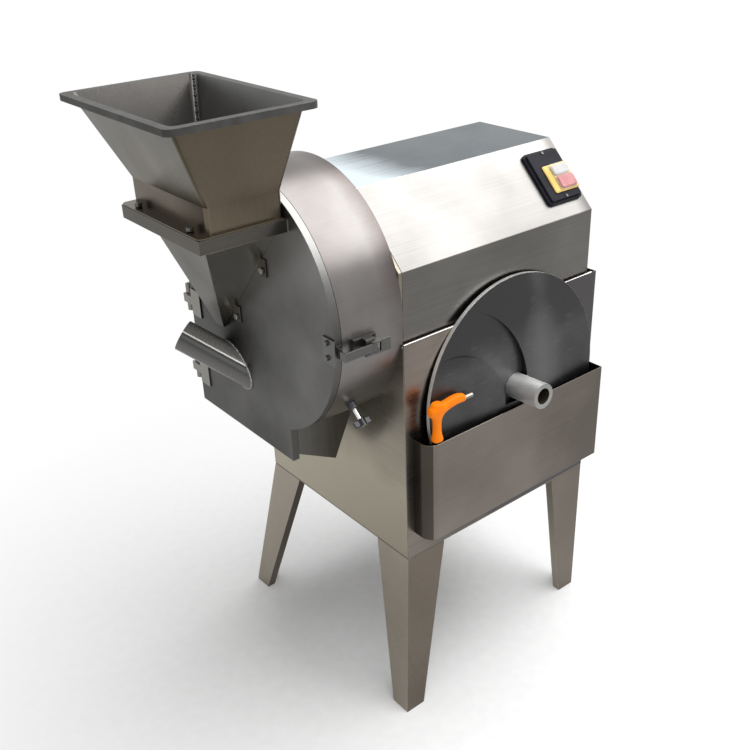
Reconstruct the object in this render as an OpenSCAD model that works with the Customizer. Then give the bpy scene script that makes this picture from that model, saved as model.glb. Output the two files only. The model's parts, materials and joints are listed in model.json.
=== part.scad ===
// Root vegetable dicer: sheet cabinet on splayed legs, a side drum with a hinged hopper cover,
// and an open pocket on the front wall that holds a spare rotor and a hex key.
// Millimetres, Z up, floor at Z = 0. The drum is on the -X side, the operator stands on the -Y side.

/* [Cabinet] */
// Width of the hood, front wall to back wall
hood_w = 460; // [380:1:560]
// Length of the hood along the drum axis
hood_len = 510; // [440:1:620]
// Height of the cabinet floor above the ground
base_z = 347; // [260:1:420]
// Height of the step where the hood stands in the lower cabinet
step_z = 826; // [780:1:860]
// Height of the eave, where the sloping panel starts
eave_z = 960; // [900:1:1000]
// Height of the flat top
ridge_z = 1084; // [1040:1:1130]
// Horizontal run of the front sloping panel
slope_run = 122; // [80:1:160]
// Horizontal run of the back sloping panel
back_run = 137; // [80:1:180]
// How far the lower cabinet stands proud of the hood
step_d = 10; // [8:1:20]
// How far the lower cabinet runs past the hood end
step_end = 16; // [10:1:30]
// Sheet thickness of panels and hood
sheet = 2; // [1.5:0.5:3]
// Thickness of the cabinet floor
floor_t = 3; // [2:0.5:6]
// Thickness of the drum mounting plate
plate_t = 8; // [6:1:12]

/* [Legs] */
// Width of a leg face at the top
leg_top = 98; // [70:1:120]
// Width of a leg face at the foot
leg_foot = 46; // [35:1:60]
// Width of the return lip on a leg
leg_lip = 20; // [10:1:26]
// Leg sheet thickness
leg_t = 3; // [2:0.5:4]
// Outward splay of the drum side legs along X
splay_x = 53; // [0:1:80]
// Outward splay of the drum side legs along Y
splay_y = 50; // [0:1:80]

/* [Drum] */
// Outer radius of the drum
drum_r = 251; // [240:1:280]
// Drum axis, distance in front of the hood back wall
drum_back = 219; // [200:1:240]
// Drum axis height
drum_z = 875.5; // [860:0.5:900]
// Distance from the cabinet face to the cover face
drum_d = 150; // [140:1:190]
// Depth of the cover skirt
skirt_d = 15; // [10:1:20]
// Wall thickness of drum shell and cover
drum_t = 4; // [3:0.5:6]
// Lower edge of the cover below the drum axis
cover_drop = 305; // [290:1:330]
// Outlet side wall, distance from the drum axis towards the front
outlet_side = 91; // [60:1:120]
// Front lip of the outlet below the drum axis
outlet_front = 295; // [280:1:320]
// Rear lip of the outlet below the drum axis
outlet_rear = 340; // [320:1:360]
// Distance of the rear outlet lip from the cabinet face
outlet_back = 50; // [30:1:60]

/* [Hopper] */
// Hopper rim length across the machine
rim_len = 382; // [320:1:420]
// Rim overhang towards the body past the cover face
rim_in = 42; // [10:1:46]
// Rim reach in front of the cover face
rim_out = 225; // [200:1:260]
// Rim height above the drum axis
rim_rise = 388.5; // [355:0.5:425]
// Width of the folded rim
rim_w = 14; // [10:1:20]
// Collar length across the machine
collar_len = 260; // [230:1:280]
// Collar depth in front of the cover face
collar_dep = 143; // [130:1:170]
// Height above the drum axis where the tapered walls meet the collar
bend_rise = 242.5; // [235:0.5:265]
// Height above the drum axis of the bolted joint between hopper and funnel
joint_rise = 195.5; // [185:0.5:205]
// Width of the bolted flange ledge on the outer side
flange_out = 23; // [18:1:30]
// Width of the flange ledge on the operator side
flange_front = 7; // [5:1:20]
// Width of the flange ledge on the far side
flange_rear = 5; // [4:1:20]
// Flange thickness
flange_t = 4; // [3:1:6]
// Height of the lip folded down from the funnel flange
flange_lip = 20; // [12:1:30]
// Funnel tip, distance behind the drum axis
tip_y = 136; // [120:1:150]
// Funnel tip below the drum axis
tip_drop = 91; // [80:1:110]
// Funnel tip width
tip_w = 28; // [20:1:40]
// Funnel width at its outer top edge
throat_w = 194; // [140:1:200]
// Reach of the funnel in front of the cover face
throat_dep = 154; // [140:1:164]
// Operator side edge of the funnel in front of the drum axis
throat_front = 122; // [110:1:130]

/* [Feed tube] */
// Outside diameter of the feed tube
feed_od = 63.5; // [50:0.5:70]
// Wall of the feed tube
feed_wall = 2; // [1.5:0.5:3]
// Length of the tube axis outside the cover
feed_len = 123; // [90:1:150]
// Tube entry behind the drum axis
feed_y = 87; // [75:1:115]
// Tube entry below the drum axis
feed_drop = 162; // [155:1:170]
// Angle of the tube from the vertical
feed_tilt = 60.9; // [45:0.1:70]
// Heading of the tube in plan
feed_turn = 130.5; // [120:0.1:150]

/* [Rotor] */
// Space between the rotor rim and the outside of the drum
rotor_rim = 21; // [15:1:36]
// Rotor disc thickness
rotor_t = 8; // [5:1:12]
// Hub outside diameter
hub_od = 52; // [44:1:60]
// Hub bore diameter
hub_bore = 33; // [26:1:36]
// Hub length in front of the disc
hub_len = 76; // [60:1:84]
// Height of the conical face where it meets the hub
cone_h = 14; // [8:1:16]
// Radius of the outer wall of the curved throwing channel
channel_r = 194; // [180:1:205]
// Radius of the inner wall of the channel
channel_in = 133; // [115:1:145]
// Gap between rotor disc and drum back wall
rotor_gap = 15; // [10:1:20]

/* [Knives] */
// Radius of the circular strip knives
strip_r = 40; // [30:1:44]
// Number of strip knives
strip_n = 7; // [4:1:9]
// Radius swept by the cross knives
cross_r = 35; // [25:1:37]
// Spindle radius of both knife shafts
spindle_r = 10; // [8:1:12]
// Bush outside radius
bush_r = 20; // [16:1:22]

/* [Drive] */
// Main shaft radius in the bearings
shaft_r = 20; // [17:1:24]
// Bearing outside radius
bearing_r = 40; // [36:1:45]
// Bearing width
bearing_w = 25; // [18:1:30]
// Length of the bearing housing behind the plate
housing_len = 142; // [120:1:160]
// Radius of the driven belt pulley
pulley_r = 110; // [90:1:120]
// Radius of the motor pulley
motor_pulley_r = 45; // [35:1:60]
// Radius of the pulley that drives the knife shafts
cutter_drive_r = 50; // [40:1:60]
// Radius of the pulleys on the knife shafts
cutter_r = 25; // [20:1:30]
// Belt width
belt_w = 20; // [14:1:24]
// Belt thickness
belt_t = 8; // [5:1:10]
// Motor frame radius
motor_r = 85; // [70:1:95]
// Motor frame length
motor_len = 200; // [150:1:220]
// Motor axis height above the cabinet floor
motor_rise = 118; // [110:1:150]

/* [Pocket] */
// Depth of the pocket in front of the cabinet
pocket_d = 44; // [40:1:70]
// Left end of the pocket from the drum side face
pocket_x0 = 20; // [10:1:40]
// Right end of the pocket from the drum side face
pocket_x1 = 515; // [490:1:520]
// Top edge of the pocket
pocket_z1 = 622; // [600:1:634]
// Lower edge of the pocket
pocket_z0 = 404; // [380:1:415]
// Outside bend radius of the pocket corner
pocket_bend = 25; // [6:1:30]
// Spare rotor centre from the drum side face
spare_x = 273; // [265:1:280]
// Spare rotor centre height
spare_z = 655; // [652:1:670]
// Lean of the spare rotor
spare_lean = 3.5; // [3:0.1:4]

/* [Hex key] */
// Hex key shank position from the drum side face
key_x = 48; // [46:1:60]
// Hex key shank position in front of the hood wall
key_y = 44; // [43:1:46]
// Hex key size across flats
key_af = 8; // [6:1:9]
// Hex key handle thickness
key_grip = 18; // [14:1:20]

/* [Switch] */
// Switch box width
switch_w = 95; // [80:1:100]
// Switch box length up the slope
switch_l = 118; // [100:1:124]
// Switch box height
switch_h = 12; // [10:1:20]
// Switch box left edge from the drum side face
switch_x = 405; // [300:1:410]
// Switch box lower edge up the slope
switch_u = 30; // [20:1:36]
// Flap width and length
flap_s = 63; // [56:1:66]

/* [Latch and hinges] */
// Latch height
latch_z = 861; // [850:1:880]
// Hinge length
hinge_l = 58; // [50:1:90]
// Hinge barrel radius
barrel_r = 7; // [6:0.5:8]
// Hinge axis behind the edge of the drum
hinge_off = 20; // [15:1:21]
// Upper hinge below the drum axis
hinge_up = 73; // [60:1:90]
// Lower hinge below the drum axis
hinge_low = 232; // [220:1:245]
// Hinge pin radius
hinge_pin_r = 3.5; // [3:0.5:4]
// Angle of the lock knob round the drum
knob_angle = -140; // [-150:1:-125]

/* [Hidden] */
$fn = 72;
// Running clearance of shafts and pins, on the radius
run_c = 0.05;
// Gap between faces that move past each other
move_c = 0.4;
// Overshoot of cutting shapes
cut = 1;
// Thin slab used to span tapered walls
slab = 2;

cab_len = hood_len + step_end;
cab_y0 = -step_d;
cab_y1 = hood_w + step_d;
wall_z0 = base_z + floor_t;
ledge_z = step_z - 8;
// Air slots under the motor and in the rear panel
vent_x = 290;
vent_y = 60;
vent_w = 8;
vent_l = 90;
vent_n = 4;
vent_pitch = 30;
louvre_z = 420;
louvre_l = 150;
louvre_n = 8;
louvre_pitch = 22;
drum_x = -drum_d;
shell_x = -drum_d + skirt_d;
drum_y = hood_w - drum_back;
drum_y1 = drum_y + drum_r;
cover_z0 = drum_z - cover_drop;
out_y0 = drum_y - outlet_side;
out_front_z = drum_z - outlet_front;
out_rear_z = drum_z - outlet_rear;
circle_z = drum_z - sqrt(drum_r * drum_r - outlet_side * outlet_side);
back_t = 5;

rim_z = drum_z + rim_rise;
bend_z = drum_z + bend_rise;
joint_z = drum_z + joint_rise;
rim_x0 = drum_x - rim_out;
rim_x1 = drum_x + rim_in;
rim_y0 = drum_y - rim_len / 2;
rim_y1 = drum_y + rim_len / 2;
col_x0 = drum_x - slab - collar_dep;
col_x1 = drum_x - slab;
col_y0 = drum_y - collar_len / 2;
col_y1 = drum_y + collar_len / 2;
fun_x0 = drum_x - throat_dep;
fun_y0 = drum_y - throat_front;

rotor_r = drum_r - rotor_rim;
rotor_x = -back_t - rotor_gap;
nose_r = hub_bore / 2;
// Centres of the two channel walls on the disc
channel_c = [-173, 8];
channel_in_c = [-174, -20];
// Flat land left round the rim, and the step round the hub
rim_land = 4;
hub_land = 3;
hub_end_x = rotor_x - rotor_t - hub_len;
spigot_r = bearing_r + 6;
housing_r = bearing_r + 10;
house_flange_r = bearing_r + 40;
house_flange_t = 12;
house_x1 = plate_t + housing_len;
cutter_x = house_x1 + 25;
pulley_x = cutter_x + belt_w + 20;
strip_y = drum_y + 184;
strip_z = drum_z - 220;
cross_y = drum_y + 111;
cross_z = drum_z - 254;
motor_z = base_z + floor_t + motor_rise;
motor_x = pulley_x + belt_w + 30;

pocket_y0 = cab_y0 - pocket_d;
lean_c = cos(spare_lean);
lean_s = sin(spare_lean);
// Back face of the spare rotor leans on the step lip with a small gap
spare_y = cab_y0 - 0.3 - (step_z - spare_z) * tan(spare_lean);
pocket_floor = spare_z - rotor_r * lean_c - 0.2;

slope_rise = ridge_z - eave_z;
slope_a = atan2(slope_rise, slope_run);

hinge_x = shell_x - barrel_r;
hinge_y = drum_y1 + hinge_off;
hinge_z1 = drum_z - hinge_up;
hinge_z2 = drum_z - hinge_low;
leaf_t = 3;

latch_x = shell_x + 45;
latch_y = drum_y - drum_r - 14;
latch_w = 32;
latch_pin_r = 3;
// Pin that joins link and lever
link_x = latch_x + 6;
link_y = latch_y - 10;
link_pin_r = 2.5;
lever_l = 34;
// Outer edge of the keeper lip
keeper_y = drum_y - drum_r - 10;

// Cover screws of the switch box, slotted pan heads
screw_u = 9;
screw_r = 3;
screw_h = 1.8;
screw_slot = 0.9;

// Lugs that hold the funnel to the cover, and the places of their bolts
lug_w = 26;
lug_h = 34;
lug_at = [0.36, 0.8];

// Switch flap, its pin, and the two buttons under it
flap_x = switch_w - flap_s - 3;
flap_u = 19;
flap_pin_u = flap_u + flap_s + 3;
flap_pin_z = switch_h + 5;
flap_pin_r = 1.6;
pad_u = 24;
pad_stem_r = 6;
start_u = 44;
stop_u = 20;
button_r = 9;
button_t = 5;
button_z = 6.5;
stem_r = 4;
stem_z = 2.5;

// Hex key grip height
grip_z = pocket_z1 + 62;

// Overall box, so that the floor centre of the box is the origin
x_min = rim_x0;
x_max = cab_len;
y_min = spare_y - (rotor_t + hub_len) * lean_c - hub_od / 2 * lean_s;
y_max = cab_y1 + splay_y;
shift_x = (x_min + x_max) / 2;
shift_y = (y_min + y_max) / 2;

// Colours
steel_c = [0.62, 0.59, 0.55];
bright_c = [0.78, 0.77, 0.75];
cover_c = [0.5, 0.5, 0.49];
dark_c = [0.34, 0.34, 0.35];
black_c = [0.08, 0.08, 0.09];
orange_c = [0.96, 0.5, 0.08];
yellow_c = [0.95, 0.76, 0.1];
red_c = [0.8, 0.08, 0.06];
green_c = [0.1, 0.55, 0.2];
motor_c = [0.25, 0.36, 0.5];

// Puts a piece drawn from the drum side face into the shared frame
module place() {
    translate([-shift_x, -shift_y, 0])
        children();
}

// Box between two corners given in any order
module span(a, b) {
    translate([min(a[0], b[0]), min(a[1], b[1]), min(a[2], b[2])])
        cube([abs(b[0] - a[0]), abs(b[1] - a[1]), abs(b[2] - a[2])]);
}

// Extrudes a Y-Z outline along X
module along_x(x0, len) {
    translate([x0, 0, 0])
        rotate([90, 0, 90])
            linear_extrude(len)
                children();
}

// Extrudes an X-Z outline along Y
module along_y(y0, len) {
    translate([0, y0 + len, 0])
        rotate([90, 0, 0])
            linear_extrude(len)
                children();
}

module rod_x(x0, x1, y, z, r) {
    translate([x0, y, z])
        rotate([0, 90, 0])
            cylinder(h = x1 - x0, r = r);
}

module ring_x(x0, x1, y, z, r_out, r_in) {
    difference() {
        rod_x(x0, x1, y, z, r_out);
        rod_x(x0 - cut, x1 + cut, y, z, r_in);
    }
}

module hex_bolt_x(x0, len, y, z, af) {
    translate([x0, y, z])
        rotate([0, 90, 0])
            cylinder(h = len, r = af / sqrt(3), $fn = 6);
}

// Outline of hood and mounting plate above the step
module hood_outline(in) {
    polygon([
        [in, ledge_z - (in > 0 ? cut : 0)],
        [in, eave_z - in * 0.4],
        [slope_run + in * 0.4, ridge_z - in],
        [hood_w - back_run - in * 0.4, ridge_z - in],
        [hood_w - in, eave_z - in * 0.4],
        [hood_w - in, ledge_z - (in > 0 ? cut : 0)]
    ]);
}

module base_pan() {
    color(steel_c)
        difference() {
            span([0, cab_y0, base_z], [cab_len, cab_y1, wall_z0]);
            for (i = [0:vent_n - 1])
                span([vent_x + i * vent_pitch, vent_y, base_z - cut],
                     [vent_x + i * vent_pitch + vent_w, vent_y + vent_l, wall_z0 + cut]);
        }
}

module mount_plate() {
    color(steel_c)
        difference() {
            union() {
                span([0, cab_y0 + sheet, wall_z0], [plate_t, cab_y1 - sheet, ledge_z]);
                along_x(0, plate_t)
                    hood_outline(0);
            }
            rod_x(-cut, plate_t + cut, drum_y, drum_z, spigot_r);
            rod_x(-cut, plate_t + cut, strip_y, strip_z, bush_r);
            rod_x(-cut, plate_t + cut, cross_y, cross_z, bush_r);
        }
}

module front_panel() {
    color(steel_c) {
        span([0, cab_y0, wall_z0], [cab_len, cab_y0 + sheet, step_z]);
        span([plate_t, cab_y0 + sheet, ledge_z - sheet], [cab_len - sheet, sheet + 10, ledge_z]);
    }
}

module rear_panel() {
    color(steel_c)
        difference() {
            union() {
                span([0, cab_y1 - sheet, wall_z0], [cab_len, cab_y1, step_z]);
                span([plate_t, hood_w - sheet - 10, ledge_z - sheet],
                     [cab_len - sheet, cab_y1 - sheet, ledge_z]);
            }
            for (i = [0:louvre_n - 1])
                span([vent_x, cab_y1 - sheet - cut, louvre_z + i * louvre_pitch],
                     [vent_x + louvre_l, cab_y1 + cut, louvre_z + i * louvre_pitch + vent_w]);
        }
}

module end_panel() {
    color(steel_c) {
        span([cab_len - sheet, cab_y0 + sheet, wall_z0], [cab_len, cab_y1 - sheet, step_z]);
        span([hood_len - 12, sheet + 10, ledge_z - sheet],
             [cab_len - sheet, hood_w - sheet - 10, ledge_z]);
    }
}

module hood() {
    color(bright_c)
        difference() {
            along_x(plate_t, hood_len - plate_t)
                hood_outline(0);
            along_x(plate_t - cut, hood_len - plate_t - sheet + cut)
                hood_outline(sheet);
        }
}

// Tapered plate between a top box and a foot box
module leg_plate(top_a, top_b, foot_a, foot_b) {
    hull() {
        span([top_a[0], top_a[1], base_z - slab], [top_b[0], top_b[1], base_z]);
        span([foot_a[0], foot_a[1], 0], [foot_b[0], foot_b[1], slab]);
    }
}

// Folded leg: two tapered faces from one corner, each with a return lip
module leg(corner, foot, sx, sy) {
    tx = corner[0];
    ty = corner[1];
    fx = foot[0];
    fy = foot[1];
    color(steel_c) {
        leg_plate([tx, ty], [tx + sx * leg_t, ty + sy * leg_top],
                  [fx, fy], [fx + sx * leg_t, fy + sy * leg_foot]);
        leg_plate([tx, ty], [tx + sx * leg_top, ty + sy * leg_t],
                  [fx, fy], [fx + sx * leg_foot, fy + sy * leg_t]);
        leg_plate([tx, ty + sy * (leg_top - leg_t)], [tx + sx * leg_lip, ty + sy * leg_top],
                  [fx, fy + sy * (leg_foot - leg_t)], [fx + sx * leg_lip, fy + sy * leg_foot]);
        leg_plate([tx + sx * (leg_top - leg_t), ty], [tx + sx * leg_top, ty + sy * leg_lip],
                  [fx + sx * (leg_foot - leg_t), fy], [fx + sx * leg_foot, fy + sy * leg_lip]);
    }
}

module leg_front_drum() {
    leg([0, cab_y0], [-splay_x, cab_y0 - splay_y], 1, 1);
}

module leg_rear_drum() {
    leg([0, cab_y1], [-splay_x, cab_y1 + splay_y], 1, -1);
}

module leg_front_end() {
    leg([cab_len, cab_y0], [cab_len, cab_y0], -1, 1);
}

module leg_rear_end() {
    leg([cab_len, cab_y1], [cab_len, cab_y1], -1, -1);
}

// Plan of the pocket with one bent corner; in = wall inset
module pocket_plan(in) {
    r = pocket_bend;
    translate([pocket_x0 + r, pocket_y0 + in])
        square([pocket_x1 - pocket_x0 - r - in, pocket_d - in + (in > 0 ? cut : 0)]);
    translate([pocket_x0 + in, pocket_y0 + r])
        square([r, pocket_d - r + (in > 0 ? cut : 0)]);
    intersection() {
        translate([pocket_x0 + r, pocket_y0 + r])
            circle(r - in);
        translate([pocket_x0, pocket_y0])
            square([r, r]);
    }
}

module pocket() {
    color(steel_c) {
        difference() {
            translate([0, 0, pocket_z0])
                linear_extrude(pocket_z1 - pocket_z0)
                    pocket_plan(0);
            translate([0, 0, pocket_floor])
                linear_extrude(pocket_z1 - pocket_floor + cut)
                    pocket_plan(sheet);
            translate([0, 0, pocket_z0 - cut])
                linear_extrude(pocket_floor - floor_t - pocket_z0 + cut)
                    pocket_plan(sheet);
        }
    }
}

// Outline of drum and cover: round, with a square outlet corner at the back
module drum_outline(in) {
    translate([drum_y, drum_z])
        circle(drum_r - in);
    open = in > 0 ? cut : 0;
    translate([out_y0 + in, cover_z0 - open])
        square([drum_y1 - out_y0 - 2 * in, cover_drop + open]);
}

// X-Z profile of the outlet duct; in = wall inset
module outlet_profile(in) {
    lean = (circle_z - out_rear_z) / outlet_back;
    low = in > 0 ? 60 : 0;
    polygon([
        [shell_x - (in > 0 ? cut : 0), drum_z],
        [shell_x - (in > 0 ? cut : 0), out_front_z - low],
        [-outlet_back - in * 1.2 - low / lean, out_rear_z - low],
        [-in * 1.2, circle_z],
        [-in * 1.2, drum_z]
    ]);
}

module knob_axis() {
    translate([shell_x + 55, drum_y, drum_z])
        rotate([knob_angle, 0, 0])
            rotate([-90, 0, 0])
                children();
}

module drum_shell() {
    color(bright_c)
        difference() {
            union() {
                rod_x(shell_x, 0, drum_y, drum_z, drum_r);
                along_y(out_y0, drum_y1 - out_y0)
                    outlet_profile(0);
            }
            rod_x(shell_x - cut, -back_t, drum_y, drum_z, drum_r - drum_t);
            along_y(out_y0 + drum_t, drum_y1 - out_y0 - 2 * drum_t)
                outlet_profile(drum_t);
            rod_x(-back_t - cut, cut, drum_y, drum_z, spigot_r);
            rod_x(-back_t - 40, cut, strip_y, strip_z, bush_r);
            rod_x(-back_t - 40, cut, cross_y, cross_z, bush_r);
            knob_axis()
                translate([0, 0, drum_r - 20])
                    cylinder(h = 40, r = 4 + run_c);
        }
}

module knife_holder() {
    color(dark_c)
        span([shell_x + 8, drum_y1 - drum_t - 14, drum_z - 135],
             [-back_t, drum_y1 - drum_t, drum_z - 15]);
}

module slicing_knife() {
    color(bright_c)
        along_x(shell_x + 10, -back_t - shell_x - 12)
            polygon([
                [drum_y1 - drum_t - 14, drum_z - 135],
                [drum_y1 - drum_t - 14, drum_z - 70],
                [drum_y1 - drum_t - 17, drum_z - 70],
                [drum_y1 - drum_t - 17, drum_z - 125]
            ]);
}

module bearing_housing() {
    color(dark_c)
        difference() {
            union() {
                rod_x(-back_t, plate_t, drum_y, drum_z, spigot_r);
                rod_x(plate_t, plate_t + house_flange_t, drum_y, drum_z, house_flange_r);
                rod_x(plate_t, house_x1, drum_y, drum_z, housing_r);
            }
            rod_x(-back_t - cut, house_x1 + cut, drum_y, drum_z, shaft_r + 6);
            rod_x(-back_t - cut, -back_t + bearing_w, drum_y, drum_z, bearing_r);
            rod_x(house_x1 - bearing_w, house_x1 + cut, drum_y, drum_z, bearing_r);
        }
}

module bearing_front() {
    color(bright_c)
        ring_x(-back_t, -back_t + bearing_w, drum_y, drum_z, bearing_r, shaft_r + run_c);
}

module bearing_rear() {
    color(bright_c)
        ring_x(house_x1 - bearing_w, house_x1, drum_y, drum_z, bearing_r, shaft_r + run_c);
}

module spindle_bush(y, z) {
    color([0.72, 0.58, 0.3])
        difference() {
            union() {
                rod_x(-back_t, plate_t, y, z, bush_r);
                rod_x(plate_t, plate_t + 50, y, z, bush_r + 4);
            }
            rod_x(-back_t - cut, plate_t + 50 + cut, y, z, spindle_r + run_c);
        }
}

module strip_bush() {
    spindle_bush(strip_y, strip_z);
}

module cross_bush() {
    spindle_bush(cross_y, cross_z);
}

// Curved channel that leads from the hub to the rim
module channel_outline() {
    intersection() {
        difference() {
            translate(channel_c)
                circle(channel_r);
            translate(channel_in_c)
                circle(channel_in);
        }
        translate([-rotor_r, -hub_od / 2])
            square([rotor_r + hub_od, 2 * rotor_r]);
    }
}

// Rotor disc lying flat, hub upwards; its face is a shallow cone with the throwing channel in it
module rotor_shape() {
    difference() {
        union() {
            cylinder(h = rotor_t, r = rotor_r);
            cylinder(h = rotor_t + hub_len, d = hub_od);
            difference() {
                translate([0, 0, rotor_t])
                    cylinder(h = cone_h, r1 = rotor_r - rim_land, r2 = hub_od / 2 + hub_land);
                translate([0, 0, rotor_t])
                    linear_extrude(cone_h + cut)
                        channel_outline();
            }
        }
        translate([0, 0, -cut])
            cylinder(h = rotor_t + hub_len + 2 * cut, d = hub_bore);
    }
}

module rotor() {
    color(dark_c)
        translate([rotor_x, drum_y, drum_z])
            rotate([90, 0, -90])
                rotor_shape();
}

module spare_rotor() {
    color(dark_c)
        translate([spare_x, spare_y, spare_z])
            rotate([90 - spare_lean, 0, 0])
                rotor_shape();
}

module main_shaft() {
    color(bright_c) {
        rod_x(rotor_x, pulley_x + belt_w + 10, drum_y, drum_z, shaft_r);
        rod_x(hub_end_x, rotor_x, drum_y, drum_z, nose_r);
    }
}

module rotor_bolt() {
    color(bright_c) {
        rod_x(hub_end_x - 4, hub_end_x, drum_y, drum_z, hub_od / 2 - 2);
        hex_bolt_x(hub_end_x - 14, 10, drum_y, drum_z, 24);
    }
}

// Flat belt pulley with two flanges on a shaft
module pulley(x0, y, z, r, bore) {
    color(dark_c)
        difference() {
            union() {
                rod_x(x0, x0 + belt_w, y, z, r);
                rod_x(x0 - 4, x0, y, z, r + belt_t * 0.6);
                rod_x(x0 + belt_w, x0 + belt_w + 4, y, z, r + belt_t * 0.6);
            }
            rod_x(x0 - 4 - cut, x0 + belt_w + 4 + cut, y, z, bore);
        }
}

module driven_pulley() {
    pulley(pulley_x, drum_y, drum_z, pulley_r, shaft_r);
}

module cutter_drive_pulley() {
    pulley(cutter_x, drum_y, drum_z, cutter_drive_r, shaft_r);
}

module strip_pulley() {
    pulley(cutter_x, strip_y, strip_z, cutter_r, spindle_r);
}

module cross_pulley() {
    pulley(cutter_x, cross_y, cross_z, cutter_r, spindle_r);
}

module motor_pulley() {
    pulley(pulley_x, drum_y, motor_z, motor_pulley_r, 12);
}

module strip_spindle() {
    color(bright_c)
        rod_x(shell_x + 12, cutter_x + belt_w + 8, strip_y, strip_z, spindle_r);
}

module strip_knives() {
    pitch = (-shell_x - 50) / (strip_n - 1);
    color(bright_c)
        for (i = [0:strip_n - 1])
            ring_x(shell_x + 18 + i * pitch, shell_x + 21 + i * pitch, strip_y, strip_z, strip_r, spindle_r);
}

module cross_spindle() {
    color(bright_c) {
        rod_x(shell_x + 12, cutter_x + belt_w + 8, cross_y, cross_z, spindle_r);
        for (a = [0:60:300])
            translate([shell_x + 18, cross_y, cross_z])
                rotate([a, 0, 0])
                    translate([0, -2, 0])
                        cube([70, 4, cross_r]);
    }
}

// Belt loop round two or three pulley centres
module belt_loop(x0, w, pts, in) {
    along_x(x0, w)
        difference() {
            hull()
                for (p = pts)
                    translate([p[0], p[1]])
                        circle(p[2] + in + belt_t, $fn = 64);
            hull()
                for (p = pts)
                    translate([p[0], p[1]])
                        circle(p[2] + in, $fn = 64);
        }
}

module drive_belt() {
    color(black_c)
        belt_loop(pulley_x + move_c, belt_w - 2 * move_c,
                  [[drum_y, drum_z, pulley_r], [drum_y, motor_z, motor_pulley_r]], move_c);
}

module cutter_belt() {
    color(black_c)
        belt_loop(cutter_x + move_c, belt_w - 2 * move_c,
                  [[drum_y, drum_z, cutter_drive_r], [strip_y, strip_z, cutter_r],
                   [cross_y, cross_z, cutter_r]], move_c);
}

module motor() {
    color(motor_c)
        difference() {
            union() {
                rod_x(motor_x, motor_x + motor_len, drum_y, motor_z, motor_r);
                rod_x(motor_x - 12, motor_x, drum_y, motor_z, motor_r * 0.7);
                span([motor_x + 40, drum_y + motor_r - 12, motor_z + 5],
                     [motor_x + 130, drum_y + motor_r + 38, motor_z + 75]);
            }
            rod_x(motor_x - 12 - cut, motor_x + 60, drum_y, motor_z, 12 + run_c);
        }
}

module motor_mount() {
    color(dark_c)
        difference() {
            union() {
                span([motor_x + 10, drum_y - 110, wall_z0], [motor_x + 170, drum_y + 110, wall_z0 + 8]);
                span([motor_x + 20, drum_y - 75, wall_z0 + 8], [motor_x + 160, drum_y - 45, motor_z - 30]);
                span([motor_x + 20, drum_y + 45, wall_z0 + 8], [motor_x + 160, drum_y + 75, motor_z - 30]);
            }
            rod_x(motor_x, motor_x + motor_len, drum_y, motor_z, motor_r);
        }
}

module motor_shaft() {
    color(bright_c)
        rod_x(pulley_x - 6, motor_x + 58, drum_y, motor_z, 12);
}

module cover_plate() {
    color(cover_c)
        difference() {
            along_x(drum_x, skirt_d - move_c)
                drum_outline(0);
            along_x(drum_x + drum_t, skirt_d)
                drum_outline(drum_t);
            along_x(drum_x - cut, drum_t + 2 * cut)
                inlet_outline();
            feed_axis()
                translate([0, 0, -60])
                    cylinder(h = 120, r = feed_od / 2 - feed_wall);
        }
}

// Opening of the funnel in the plane of the cover
module inlet_outline() {
    polygon([
        [fun_y0 + 3, joint_z - flange_t],
        [col_y1 - 3, joint_z - flange_t],
        [drum_y + tip_y + tip_w / 2 - 3, drum_z - tip_drop + 4],
        [drum_y + tip_y - tip_w / 2 + 3, drum_z - tip_drop + 4]
    ]);
}

module feed_axis() {
    translate([drum_x, drum_y + feed_y, drum_z - feed_drop])
        rotate([0, feed_tilt, feed_turn])
            children();
}

module feed_tube() {
    color(bright_c)
        difference() {
            feed_axis()
                translate([0, 0, -60])
                    cylinder(h = feed_len + 60, r = feed_od / 2);
            feed_axis()
                translate([0, 0, -60 - cut])
                    cylinder(h = feed_len + 60 + 2 * cut, r = feed_od / 2 - feed_wall);
            translate([drum_x, drum_y + feed_y - 200, drum_z - feed_drop - 200])
                cube([200, 400, 400]);
        }
}

// Rectangle slab given by X and Y limits
module rect_slab(x0, x1, y0, y1, z, h) {
    translate([x0, y0, z])
        cube([x1 - x0, y1 - y0, h]);
}

module hopper() {
    w = sheet;
    i0 = rim_x0 + rim_w;
    i1 = rim_x1 - rim_w;
    j0 = rim_y0 + rim_w;
    j1 = rim_y1 - rim_w;
    color(steel_c)
        difference() {
            union() {
                hull() {
                    rect_slab(i0, i1, j0, j1, rim_z - slab, slab);
                    rect_slab(col_x0, col_x1, col_y0, col_y1, bend_z, slab);
                }
                rect_slab(col_x0, col_x1, col_y0, col_y1, joint_z, bend_z - joint_z);
                rect_slab(col_x0 - flange_out, col_x1, col_y0 - flange_front, col_y1 + flange_rear, joint_z, flange_t);
                difference() {
                    rect_slab(rim_x0, rim_x1, rim_y0, rim_y1, rim_z - rim_w, rim_w);
                    rect_slab(rim_x0 + w, rim_x1 - w, rim_y0 + w, rim_y1 - w, rim_z - rim_w - cut, rim_w - w + cut);
                }
            }
            hull() {
                rect_slab(i0 + w, i1 - w, j0 + w, j1 - w, rim_z - slab, slab + cut);
                rect_slab(col_x0 + w, col_x1 - w, col_y0 + w, col_y1 - w, bend_z, slab);
            }
            rect_slab(col_x0 + w, col_x1 - w, col_y0 + w, col_y1 - w, joint_z - cut, bend_z - joint_z + 2 * cut);
        }
}

// Top outline of the funnel, wide at the cover and narrower at the outer edge
module funnel_top(in) {
    over = in > 0 ? cut : 0;
    polygon([
        [fun_x0 + in, fun_y0 + in],
        [fun_x0 + in, fun_y0 + throat_w - in],
        [drum_x + over, col_y1 - 1.5 * in],
        [drum_x + over, fun_y0 + in]
    ]);
}

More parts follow.
